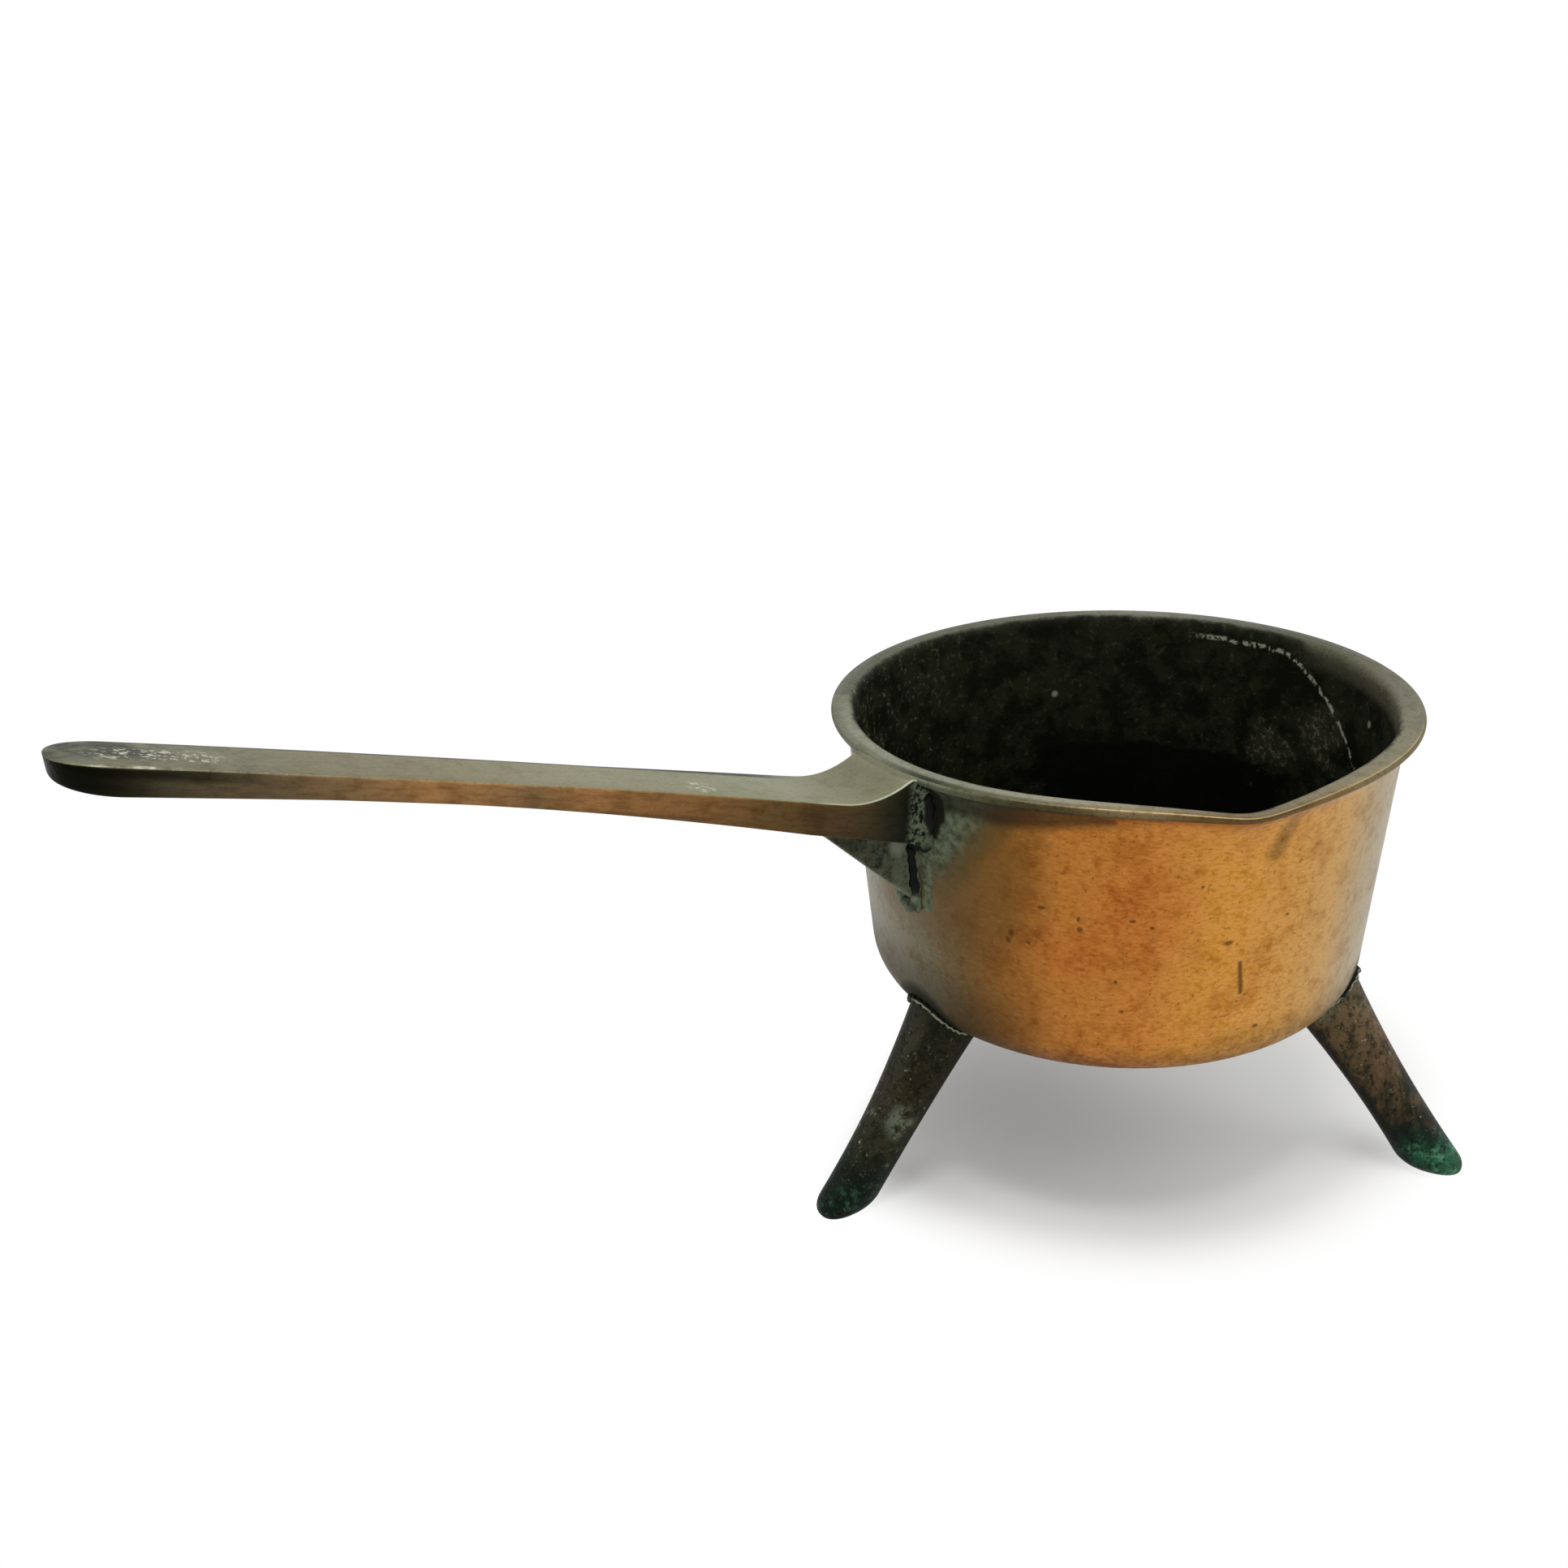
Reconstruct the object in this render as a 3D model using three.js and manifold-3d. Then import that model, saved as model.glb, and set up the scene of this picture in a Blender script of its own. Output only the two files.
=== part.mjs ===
// Three-legged skillet in bell metal: a turned pan with a pouring spout, a tapering bar handle held
// up by a triangular stay, and three splayed legs. The joints are brazed, with a bead round each.
// Millimetres, +Z up, feet on z = 0, the handle along -X. The origin is at the middle of the floor
// under the whole object. Pieces that meet keep GAP between them, where the braze film is.

import * as THREE from "three";
import { mergeVertices } from "three/addons/utils/BufferGeometryUtils.js";
import Module from "manifold-3d";

// Pan: outside sizes, measured from its own upright axis
const RIM_HEIGHT = 137;
const RIM_RADIUS = 84;
const PAN_DEPTH = 86.4;
const WALL = 2.5;
const NECK_RADIUS = 79.1;
const LIP_DEPTH = 9;
const LIP_EDGE = 2.2;
const LIP_ROUND = 0.9;
const LIP_UNDERCUT = 1.2;
const FLANGE_WIDTH = 4.1;
const SHOULDER_DROP = 4.5;
const SHOULDER_IN = 0.2;
const BASE_RADIUS = 72.7;
const BASE_CORNER = 13;
const BASE_HEIGHT = RIM_HEIGHT - PAN_DEPTH;

// Pouring spout: a V drawn out of the lip, steeper on the handle's side, with the rim on both sides
// drawn in. The drawing out leaves the flange narrower there.
const SPOUT_AZIMUTH = 248;
const SPOUT_REACH = 12.1;
const SPOUT_STEEP_ANGLE = 11.7;
const SPOUT_GENTLE_ANGLE = 20.6;
const SPOUT_POINT = 3.4;
const DRAW_IN = 4.9;
const DRAW_IN_ANGLE = 40;
const SPOUT_DEPTH = 20;
const SPOUT_THINNING = 1.8;
const SPOUT_THINNED_ANGLE = 22;

// Filed-down casting gate under the base
const GATE_LENGTH = 38;
const GATE_WIDTH = 5;
const GATE_HEIGHT = 0.8;
const GATE_AZIMUTH = 25;

// Handle: distances are from the pan's axis, heights from the rim
const HANDLE_REACH = 281.6;
const HANDLE_RISE = 0.322;
const LEVEL_WITH_RIM = 109.7;
const HANDLE_BOW = 0.6;
const TIP_THICKNESS = 6.9;
const MIDDLE_THICKNESS = 5.8;
const NECK_THICKNESS = 10;
const THIN_FROM = 205;
const THICKENING_CURVE = 1.5;
const HALF_WIDTH = 9.4;
const GRIP_HALF_WIDTH = 8.9;
const GRIP_FROM = 230;
const TIP_LENGTH = 12;
const TIP_TOP_ROUND = 0.15;
const TIP_BOTTOM_ROUND = 0.35;
const TIP_BLUNTNESS = 0.75;
const TIP_LAST_TURN = 86;
const BRACKET_FROM = 114;
const BRACKET_SLOPE = 0.37;
const FISHTAIL_FROM = 165;
const FISHTAIL_CURVE = 1.1;
const FISHTAIL_TOP = 3.9;
const FISHTAIL_BOTTOM = 1.2;
const DIP_FROM = 105;
const EDGE_BEVEL = 0.8;
const ROOT_OVERLAP = 14;

// Stay: the triangular plate between the handle's underside and the wall
const STAY_THICKNESS = 6.6;
const STAY_NOSE = 107;
const STAY_NOSE_HEIGHT = 1.2;
const STAY_TIP_DROP = 43.6;
const STAY_OVERLAP = 3;

// Legs: how far the middle of a leg stands from the pan's axis at two heights and half way between
// them, and its half sizes there, square to its own length. Each toe was bent out a little by hand.
const LEGS = {
  leg_under_handle: { azimuth: 180, toeOut: 3.2 },
  leg_spout_side: { azimuth: 300, toeOut: 0.3 },
  leg_far_side: { azimuth: 60, toeOut: 0.3 },
};
const LEG_HIGH = { height: 61, radius: 56.6, halfDepth: 12.5, halfWidth: 11 };
const LEG_MIDDLE = { radius: 78.1, halfDepth: 7.95, halfWidth: 8.4 };
const LEG_LOW = { height: 4, radius: 98.3, halfDepth: 7.55, halfWidth: 7.2 };
const LEG_TOP = 69;
const TOE_BEND_TOP = 35;
const LEG_SQUARENESS = 2.3;
const TOE_ROUND = 3.8;

// Joints
const GAP = 0.3;
const LEG_BEAD = 1.1;
const ROOT_BEAD = 1.9;
const STAY_BEAD = 1.2;
const BEAD_TURN = 1.5;
const LUMPS = [
  { size: 0.1, count: 6, start: 0 },
  { size: 0.06, count: 11, start: 1 },
];
const BEAD_END = 0.35;

// Fineness of the facets
const PAN_COLUMNS = 96;
const SPOUT_CROWDING = 0.45;
const LEG_SIDES = 24;
const BEAD_SIDES = 7;
const HANDLE_STEPS = { root: 13, straight: 9, tip: 6 };
const LEG_STEPS = { toe: 4, shank: 8 };
const LEG_BEAD_STEPS = 44;

const DEGREE = Math.PI / 180;
const PAN_AXIS_X = (HANDLE_REACH - RIM_RADIUS) / 2;

const wasm = await Module();
wasm.setup();

function share(value, from, to) {
  return THREE.MathUtils.clamp((value - from) / (to - from), 0, 1);
}

// Solids

function toSolid(geometry) {
  const bare = geometry.clone();
  bare.deleteAttribute("normal");
  bare.deleteAttribute("uv");
  const merged = mergeVertices(bare, 1e-4);
  const corners = merged.index.array;
  const kept = [];
  for (let k = 0; k < corners.length; k += 3) {
    const [a, b, c] = corners.slice(k, k + 3);
    if (a !== b && b !== c && c !== a) kept.push(a, b, c);
  }
  return new wasm.Manifold(
    new wasm.Mesh({
      numProp: 3,
      vertProperties: new Float32Array(merged.attributes.position.array),
      triVerts: new Uint32Array(kept),
    }),
  );
}

function toGeometry(solid) {
  const mesh = solid.getMesh();
  const geometry = new THREE.BufferGeometry();
  geometry.setAttribute("position", new THREE.BufferAttribute(mesh.vertProperties, 3));
  geometry.setIndex(new THREE.BufferAttribute(mesh.triVerts, 1));
  geometry.computeVertexNormals();
  return geometry;
}

// A skin over rings of points, each ring running the same way round. The ends are capped, unless
// the last ring joins the first.
function loft(rings, joined = false) {
  const sides = rings[0].length;
  const positions = rings.flat().flatMap((point) => point.toArray());
  const index = [];
  const spans = joined ? rings.length : rings.length - 1;
  for (let k = 0; k < spans; k++) {
    const here = k * sides;
    const next = ((k + 1) % rings.length) * sides;
    for (let side = 0; side < sides; side++) {
      const turn = (side + 1) % sides;
      index.push(here + side, here + turn, next + turn);
      index.push(here + side, next + turn, next + side);
    }
  }
  if (!joined) {
    const last = (rings.length - 1) * sides;
    for (let side = 1; side < sides - 1; side++) {
      index.push(0, side + 1, side);
      index.push(last, last + side, last + side + 1);
    }
  }
  const geometry = new THREE.BufferGeometry();
  geometry.setAttribute("position", new THREE.Float32BufferAttribute(positions, 3));
  geometry.setIndex(index);
  return geometry;
}

function lumpAt(along) {
  const waves = LUMPS.map(({ size, count, start }) => {
    return size * Math.sin(along * count * 2 * Math.PI + start);
  });
  return 1 + waves[0] + waves[1];
}

// A bead of braze along a curve, slightly lumpy, with round ends where it doesn't join up
function bead(curve, radius, steps, joined) {
  const frames = curve.computeFrenetFrames(steps, joined);
  const count = joined ? steps : steps + 1;
  const rings = [];
  for (let k = 0; k < count; k++) {
    const along = k / steps;
    const fromEnd = Math.min(k, steps - k) / 2;
    const taper = joined ? 1 : Math.min(1, BEAD_END + (1 - BEAD_END) * fromEnd);
    const arm = radius * lumpAt(along) * taper;
    const centre = curve.getPointAt(along);
    const ring = [];
    for (let side = 0; side < BEAD_SIDES; side++) {
      const turn = (side / BEAD_SIDES) * 2 * Math.PI;
      ring.push(
        centre
          .clone()
          .addScaledVector(frames.normals[k], arm * Math.cos(turn))
          .addScaledVector(frames.binormals[k], arm * Math.sin(turn)),
      );
    }
    rings.push(ring);
  }
  return toSolid(loft(rings, joined));
}

// Pan profile, as points of radius and height

function linePoints(from, to, steps) {
  return new THREE.LineCurve(from, to).getPoints(steps);
}

const wallLean = Math.atan((NECK_RADIUS - BASE_RADIUS) / (PAN_DEPTH - LIP_DEPTH));
const cornerBend = Math.PI / 2 - wallLean;
const cornerCentre = new THREE.Vector2(
  BASE_RADIUS - BASE_CORNER * Math.tan(cornerBend / 2),
  BASE_HEIGHT + BASE_CORNER,
);

// The outside below the lip, pushed out by grow: flat base, round corner, leaning wall
function bodyProfile(grow) {
  const radius = BASE_CORNER + grow;
  const corner = new THREE.EllipseCurve(
    cornerCentre.x, cornerCentre.y, radius, radius, -Math.PI / 2, -wallLean, false,
  ).getPoints(6);
  const cornerTop = corner.at(-1);
  const radiusAt = (height) => cornerTop.x + (height - cornerTop.y) * Math.tan(wallLean);
  const spoutFoot = RIM_HEIGHT - SPOUT_DEPTH;
  const neck = RIM_HEIGHT - LIP_DEPTH;
  return [
    new THREE.Vector2(0, BASE_HEIGHT - grow),
    ...corner,
    ...linePoints(
      new THREE.Vector2(radiusAt(spoutFoot), spoutFoot),
      new THREE.Vector2(radiusAt(neck), neck),
      3,
    ),
  ];
}

// The underside of the lip, from the neck out to its edge
function lipUnderside(grow) {
  const neck = bodyProfile(grow).at(-1);
  const edge = new THREE.Vector2(RIM_RADIUS - LIP_ROUND + grow, RIM_HEIGHT - LIP_EDGE - grow);
  const bend = new THREE.Vector2(neck.x + LIP_UNDERCUT / 2, edge.y - LIP_UNDERCUT);
  return new THREE.QuadraticBezierCurve(neck, bend, edge).getPoints(5).slice(1);
}

// The inside of the lip, from its edge to the inner wall: a flat flange with a rounded shoulder
function lipInside() {
  const neck = bodyProfile(-WALL).at(-1);
  const edge = new THREE.Vector2(RIM_RADIUS - LIP_ROUND, RIM_HEIGHT);
  const flat = new THREE.Vector2(edge.x - FLANGE_WIDTH, RIM_HEIGHT);
  const corner = new THREE.Vector2(neck.x + SHOULDER_IN, RIM_HEIGHT);
  const shoulder = new THREE.Vector2(corner.x, RIM_HEIGHT - SHOULDER_DROP);
  return [
    edge,
    edge.clone().lerp(flat, 0.5),
    ...new THREE.QuadraticBezierCurve(flat, corner, shoulder).getPoints(4),
  ];
}

function panOutside() {
  return [
    ...bodyProfile(0),
    ...lipUnderside(0),
    new THREE.Vector2(RIM_RADIUS, RIM_HEIGHT - LIP_EDGE + LIP_ROUND),
    new THREE.Vector2(RIM_RADIUS, RIM_HEIGHT - LIP_ROUND),
  ];
}

function panInside() {
  return [...lipInside(), ...bodyProfile(-WALL).reverse()];
}

// The pan's outside as one filled solid, which cuts every piece that seats on it
function panCutterProfile() {
  const above = RIM_HEIGHT + 10;
  return [
    ...bodyProfile(GAP),
    ...lipUnderside(GAP),
    new THREE.Vector2(RIM_RADIUS + GAP, RIM_HEIGHT - LIP_EDGE),
    new THREE.Vector2(RIM_RADIUS + GAP, above),
    new THREE.Vector2(0, above),
  ];
}

function revolve(profile) {
  const geometry = new THREE.LatheGeometry(profile, PAN_COLUMNS);
  geometry.rotateX(Math.PI / 2);
  return geometry;
}

// Spout: how far the rim stands out of its circle at an angle from the spout's middle
function spoutOffset(angle) {
  const rounded = Math.hypot(angle, SPOUT_POINT) - SPOUT_POINT;
  const flank = angle < 0 ? SPOUT_STEEP_ANGLE : SPOUT_GENTLE_ANGLE;
  const drawnOut = SPOUT_REACH * Math.exp(-rounded / flank);
  const drawnIn = DRAW_IN * Math.exp(-((angle / DRAW_IN_ANGLE) ** 2));
  return drawnOut - drawnIn;
}

// How much further out the flange's inner edge and the inner wall below it stand at the spout
function spoutThinning(angle) {
  return SPOUT_THINNING * Math.exp(-((angle / SPOUT_THINNED_ANGLE) ** 2));
}

// Turns each column of the pan towards the spout, so that they stand closer there, and draws the
// spout out of the top of the wall
function formPan() {
  const outside = panOutside();
  const profile = [...outside, ...panInside()];
  const geometry = revolve(profile);
  const points = geometry.attributes.position;
  const spoutMiddle = SPOUT_AZIMUTH * DEGREE;
  const lipCorner = RIM_RADIUS - LIP_ROUND;
  for (let k = 0; k < points.count; k++) {
    const even = Math.atan2(points.getY(k), points.getX(k)) - spoutMiddle;
    const crowded = Math.atan2(Math.sin(even), Math.cos(even)) - SPOUT_CROWDING * Math.sin(even);
    const angle = crowded / DEGREE;
    const onProfile = k % profile.length;
    const point = profile[onProfile];
    const rise = Math.max(0, (point.y - RIM_HEIGHT + SPOUT_DEPTH) / SPOUT_DEPTH);
    const inFlange = share(point.x, lipCorner, lipCorner - FLANGE_WIDTH);
    const thinned = onProfile < outside.length ? 0 : spoutThinning(angle) * inFlange;
    const radius = point.x + (spoutOffset(angle) + thinned) * rise ** 2;
    points.setXYZ(
      k,
      radius * Math.cos(spoutMiddle + crowded),
      radius * Math.sin(spoutMiddle + crowded),
      point.y,
    );
  }
  return geometry;
}

function castingGate() {
  const half = GATE_LENGTH / 2 - GATE_WIDTH / 2;
  const outline = new THREE.Shape();
  outline.absarc(half, 0, GATE_WIDTH / 2, -Math.PI / 2, Math.PI / 2, false);
  outline.absarc(-half, 0, GATE_WIDTH / 2, Math.PI / 2, -Math.PI / 2, false);
  const geometry = new THREE.ExtrudeGeometry(outline, {
    depth: GATE_HEIGHT + WALL / 2,
    curveSegments: 6,
    bevelEnabled: false,
  });
  geometry.rotateZ(GATE_AZIMUTH * DEGREE);
  geometry.translate(0, 0, BASE_HEIGHT - GATE_HEIGHT);
  return toSolid(geometry);
}

function makePan() {
  const shell = toSolid(formPan());
  return shell.add(castingGate());
}

// Handle

function handleTop(reach) {
  const line = RIM_HEIGHT + HANDLE_RISE * (reach - LEVEL_WITH_RIM);
  const lift = HANDLE_RISE * (LEVEL_WITH_RIM - RIM_RADIUS);
  const along = share(reach, LEVEL_WITH_RIM, HANDLE_REACH);
  const bow = 4 * HANDLE_BOW * along * (1 - along);
  return line + bow + lift * share(reach, DIP_FROM, RIM_RADIUS) ** 2;
}

function handleBottom(reach) {
  const from = Math.max(reach, BRACKET_FROM);
  const thickening = share(from, THIN_FROM, BRACKET_FROM) ** THICKENING_CURVE;
  const end = (TIP_THICKNESS - MIDDLE_THICKNESS) * share(from, GRIP_FROM, HANDLE_REACH);
  const neck = (NECK_THICKNESS - MIDDLE_THICKNESS) * thickening;
  const thickness = MIDDLE_THICKNESS + end + neck;
  return handleTop(from) - thickness - BRACKET_SLOPE * (from - reach);
}

function handleHalfWidth(reach, fishtail) {
  const grip = (GRIP_HALF_WIDTH - HALF_WIDTH) * share(reach, GRIP_FROM, HANDLE_REACH);
  return HALF_WIDTH + grip + fishtail * share(reach, FISHTAIL_FROM, RIM_RADIUS) ** FISHTAIL_CURVE;
}

// One section across the handle, with bevelled edges. tip runs from 0 to 1 over the rounded end.
function handleSection(reach, tip, grow) {
  const round = Math.sqrt(1 - tip * tip);
  const thickness = handleTop(reach) - handleBottom(reach);
  const top = handleTop(reach) - TIP_TOP_ROUND * thickness * (1 - round) + grow;
  const bottom = handleBottom(reach) + TIP_BOTTOM_ROUND * thickness * (1 - round) - grow;
  const wide = handleHalfWidth(reach, FISHTAIL_TOP) * round ** TIP_BLUNTNESS + grow;
  const narrow = handleHalfWidth(reach, FISHTAIL_BOTTOM) * round ** TIP_BLUNTNESS + grow;
  const bevel = EDGE_BEVEL * round;
  const rightSide = [
    [wide - bevel, top],
    [wide, top - bevel],
    [narrow, bottom + bevel],
    [narrow - bevel, bottom],
  ];
  const leftSide = rightSide.map(([across, height]) => [-across, height]).reverse();
  return [...rightSide, ...leftSide].map(([y, z]) => new THREE.Vector3(-reach, y, z));
}

function handleBlank(grow) {
  const rings = [];
  const rootStart = RIM_RADIUS - ROOT_OVERLAP;
  const straightEnd = HANDLE_REACH - TIP_LENGTH;
  for (let k = 0; k < HANDLE_STEPS.root; k++) {
    const reach = rootStart + ((BRACKET_FROM - rootStart) * k) / HANDLE_STEPS.root;
    rings.push(handleSection(reach, 0, grow));
  }
  for (let k = 0; k < HANDLE_STEPS.straight; k++) {
    const reach = BRACKET_FROM + ((straightEnd - BRACKET_FROM) * k) / HANDLE_STEPS.straight;
    rings.push(handleSection(reach, 0, grow));
  }
  for (let k = 0; k <= HANDLE_STEPS.tip; k++) {
    const tip = Math.sin((k / HANDLE_STEPS.tip) * TIP_LAST_TURN * DEGREE);
    rings.push(handleSection(straightEnd + TIP_LENGTH * tip, tip, grow));
  }
  return toSolid(loft(rings));
}

function makeHandle(panCutter) {
  return handleBlank(0).subtract(panCutter);
}

// Stay

function stayBlank(grow) {
  const inside = RIM_RADIUS - ROOT_OVERLAP;
  const noseTop = handleBottom(STAY_NOSE);
  const noseFoot = noseTop - STAY_NOSE_HEIGHT;
  const tipHeight = RIM_HEIGHT - STAY_TIP_DROP;
  const tipReach = wallRadius(tipHeight);
  const slope = (noseFoot - tipHeight) / (STAY_NOSE - tipReach);
  const outline = new THREE.Shape();
  outline.moveTo(-STAY_NOSE - grow, noseTop + STAY_OVERLAP);
  outline.lineTo(-STAY_NOSE - grow, noseFoot - grow);
  outline.lineTo(-inside, tipHeight - slope * (tipReach - inside) - grow);
  outline.lineTo(-inside, noseTop + STAY_OVERLAP);
  outline.closePath();
  const thickness = STAY_THICKNESS + 2 * grow;
  const geometry = new THREE.ExtrudeGeometry(outline, { depth: thickness, bevelEnabled: false });
  geometry.rotateX(Math.PI / 2);
  geometry.translate(0, thickness / 2, 0);
  return toSolid(geometry);
}

function makeStay(panCutter) {
  return stayBlank(0).subtract(panCutter).subtract(handleBlank(GAP));
}

// Outer radius of the pan's wall and corner at a height
function wallRadius(height) {
  const profile = [...bodyProfile(0), ...lipUnderside(0)];
  const above = profile.findIndex((point) => point.y > height);
  const low = profile[above - 1];
  const high = profile[above];
  return low.x + ((high.x - low.x) * (height - low.y)) / (high.y - low.y);
}

function onWall(across, height) {
  const radius = wallRadius(height);
  return new THREE.Vector3(-Math.sqrt(radius * radius - across * across), across, height);
}

// One bead that runs down one side of the handle's root, round the stay and up the other side
function makeRootBraze(panCutter) {
  const foot = handleBottom(wallRadius(RIM_HEIGHT - SPOUT_DEPTH));
  const bottomHalf = handleHalfWidth(wallRadius(foot), FISHTAIL_BOTTOM);
  const topHalf = handleHalfWidth(wallRadius(foot), FISHTAIL_TOP);
  const stayHalf = STAY_THICKNESS / 2;
  const tipHeight = RIM_HEIGHT - STAY_TIP_DROP;
  const oneSide = [
    [topHalf - BEAD_TURN / 2, RIM_HEIGHT - LIP_EDGE - 3 * BEAD_TURN],
    [(topHalf + bottomHalf) / 2, (RIM_HEIGHT + foot) / 2],
    [bottomHalf, foot + BEAD_TURN],
    [bottomHalf - BEAD_TURN, foot - BEAD_TURN / 2],
    [stayHalf + BEAD_TURN, foot - BEAD_TURN],
    [stayHalf, foot - 3 * BEAD_TURN],
    [stayHalf, (foot + tipHeight) / 2],
    [stayHalf, tipHeight + BEAD_TURN],
    [stayHalf / 2, tipHeight - BEAD_TURN / 2],
  ];
  const otherSide = oneSide.map(([across, height]) => [-across, height]).reverse();
  const points = [...oneSide, ...otherSide].map(([across, height]) => onWall(across, height));
  const curve = new THREE.CatmullRomCurve3(points, false, "centripetal");
  return bead(curve, ROOT_BEAD, 72, false)
    .subtract(panCutter)
    .subtract(handleBlank(GAP))
    .subtract(stayBlank(GAP));
}

// The bead round the stay's nose, where it meets the underside of the handle
function makeStayBraze() {
  const half = STAY_THICKNESS / 2 + GAP;
  const wallEnd = wallRadius(RIM_HEIGHT - SPOUT_DEPTH) + 2 * ROOT_BEAD;
  const oneSide = [
    [wallEnd, half],
    [(wallEnd + STAY_NOSE) / 2, half],
    [STAY_NOSE - BEAD_TURN, half],
    [STAY_NOSE + GAP, half],
    [STAY_NOSE + GAP, half - BEAD_TURN],
  ];
  const otherSide = oneSide.map(([reach, across]) => [reach, -across]).reverse();
  const points = [...oneSide, ...otherSide].map(
    ([reach, across]) => new THREE.Vector3(-reach, across, handleBottom(reach) - GAP),
  );
  const curve = new THREE.CatmullRomCurve3(points, false, "centripetal");
  return bead(curve, STAY_BEAD, 36, false).subtract(handleBlank(GAP)).subtract(stayBlank(GAP));
}

// Legs, made standing out along +X

// A value that runs through the leg's three measured places as a smooth curve
function alongLeg(name, height) {
  const low = share(height, LEG_LOW.height, LEG_HIGH.height);
  const run = (height - LEG_LOW.height) / (LEG_HIGH.height - LEG_LOW.height);
  const bow = LEG_MIDDLE[name] - (LEG_LOW[name] + LEG_HIGH[name]) / 2;
  return LEG_LOW[name] + (LEG_HIGH[name] - LEG_LOW[name]) * run + 4 * bow * low * (1 - low);
}

const legLean = Math.atan(
  (LEG_LOW.radius - LEG_HIGH.radius) / (LEG_HIGH.height - LEG_LOW.height),
);

// How far the toe's bend moves the leg's middle out at a height
function toeBend(toeOut, height) {
  return toeOut * (1 - share(height, 0, TOE_BEND_TOP)) ** 2;
}

// A point of the leg's level section at a height: a slightly squared oval
function legPoint(height, turn, inset, toeOut) {
  const cosine = Math.cos(turn);
  const sine = Math.sin(turn);
  const power = 2 / LEG_SQUARENESS;
  const deep = alongLeg("halfDepth", height) / Math.cos(legLean) - inset;
  const wide = alongLeg("halfWidth", height) - inset;
  const middle = alongLeg("radius", height) + toeBend(toeOut, height);
  return new THREE.Vector3(
    middle + deep * Math.sign(cosine) * Math.abs(cosine) ** power,
    wide * Math.sign(sine) * Math.abs(sine) ** power,
    height,
  );
}

function legRing(height, inset, toeOut) {
  const ring = [];
  for (let side = 0; side < LEG_SIDES; side++) {
    ring.push(legPoint(height, (side / LEG_SIDES) * 2 * Math.PI, inset, toeOut));
  }
  return ring;
}

function legBlank(grow, toeOut) {
  const rings = [];
  for (let k = 0; k < LEG_STEPS.toe; k++) {
    const turn = (k / LEG_STEPS.toe) * (Math.PI / 2);
    const height = TOE_ROUND * (1 - Math.cos(turn));
    rings.push(legRing(height, TOE_ROUND * (1 - Math.sin(turn)) - grow, toeOut));
  }
  for (let k = 0; k <= LEG_STEPS.shank; k++) {
    const height = TOE_ROUND + ((LEG_TOP - TOE_ROUND) * k) / LEG_STEPS.shank;
    rings.push(legRing(height, -grow, toeOut));
  }
  return toSolid(loft(rings));
}

function makeLeg(panCutter, toeOut) {
  return legBlank(0, toeOut).subtract(panCutter);
}

// Height at which one line down the leg's side runs into the pan
function seatHeight(turn) {
  const halvings = 30;
  let outside = TOE_BEND_TOP;
  let inside = LEG_TOP;
  for (let k = 0; k < halvings; k++) {
    const middle = (outside + inside) / 2;
    const point = legPoint(middle, turn, 0, 0);
    const within = middle > BASE_HEIGHT && Math.hypot(point.x, point.y) < wallRadius(middle);
    if (within) inside = middle;
    else outside = middle;
  }
  return inside;
}

function makeLegBraze(panCutter) {
  const points = [];
  for (let side = 0; side < LEG_SIDES; side++) {
    const turn = (side / LEG_SIDES) * 2 * Math.PI;
    points.push(legPoint(seatHeight(turn), turn, -GAP, 0));
  }
  const curve = new THREE.CatmullRomCurve3(points, true);
  return bead(curve, LEG_BEAD, LEG_BEAD_STEPS, true).subtract(panCutter).subtract(legBlank(GAP, 0));
}

// Colours and assembly

const panMetal = new THREE.MeshStandardMaterial({
  name: "bell_metal", color: 0xb57a34, roughness: 0.42, metalness: 0.9,
});
const handleMetal = new THREE.MeshStandardMaterial({
  name: "handle_bronze", color: 0x6f5c42, roughness: 0.5, metalness: 0.85,
});
const legMetal = new THREE.MeshStandardMaterial({
  name: "leg_bronze", color: 0x3a3024, roughness: 0.6, metalness: 0.7,
});
const brazeMetal = new THREE.MeshStandardMaterial({
  name: "braze", color: 0x71786a, roughness: 0.75, metalness: 0.4,
});

function piece(name, solid, material) {
  const mesh = new THREE.Mesh(toGeometry(solid), material);
  mesh.name = name;
  return mesh;
}

const panCutter = toSolid(revolve(panCutterProfile()));

const skillet = new THREE.Group();
skillet.position.x = PAN_AXIS_X;
skillet.add(
  piece("pan", makePan(), panMetal),
  piece("handle", makeHandle(panCutter), handleMetal),
  piece("handle_stay", makeStay(panCutter), handleMetal),
  piece("root_braze", makeRootBraze(panCutter), brazeMetal),
  piece("stay_braze", makeStayBraze(), brazeMetal),
);

const legBraze = makeLegBraze(panCutter);
for (const [name, { azimuth, toeOut }] of Object.entries(LEGS)) {
  const corner = new THREE.Group();
  corner.rotation.z = azimuth * DEGREE;
  corner.add(
    piece(name, makeLeg(panCutter, toeOut), legMetal),
    piece(`${name}_braze`, legBraze, brazeMetal),
  );
  skillet.add(corner);
}

export default skillet;
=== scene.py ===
"""Three-legged skillet in bell metal: fine surfaces, patina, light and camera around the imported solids.

Metres, +Z up, the handle along -X, feet on z = 0. Sizes are the solids' own driving dimensions.
"""

import math
import random

import bpy
from mathutils import Matrix, Vector


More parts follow.
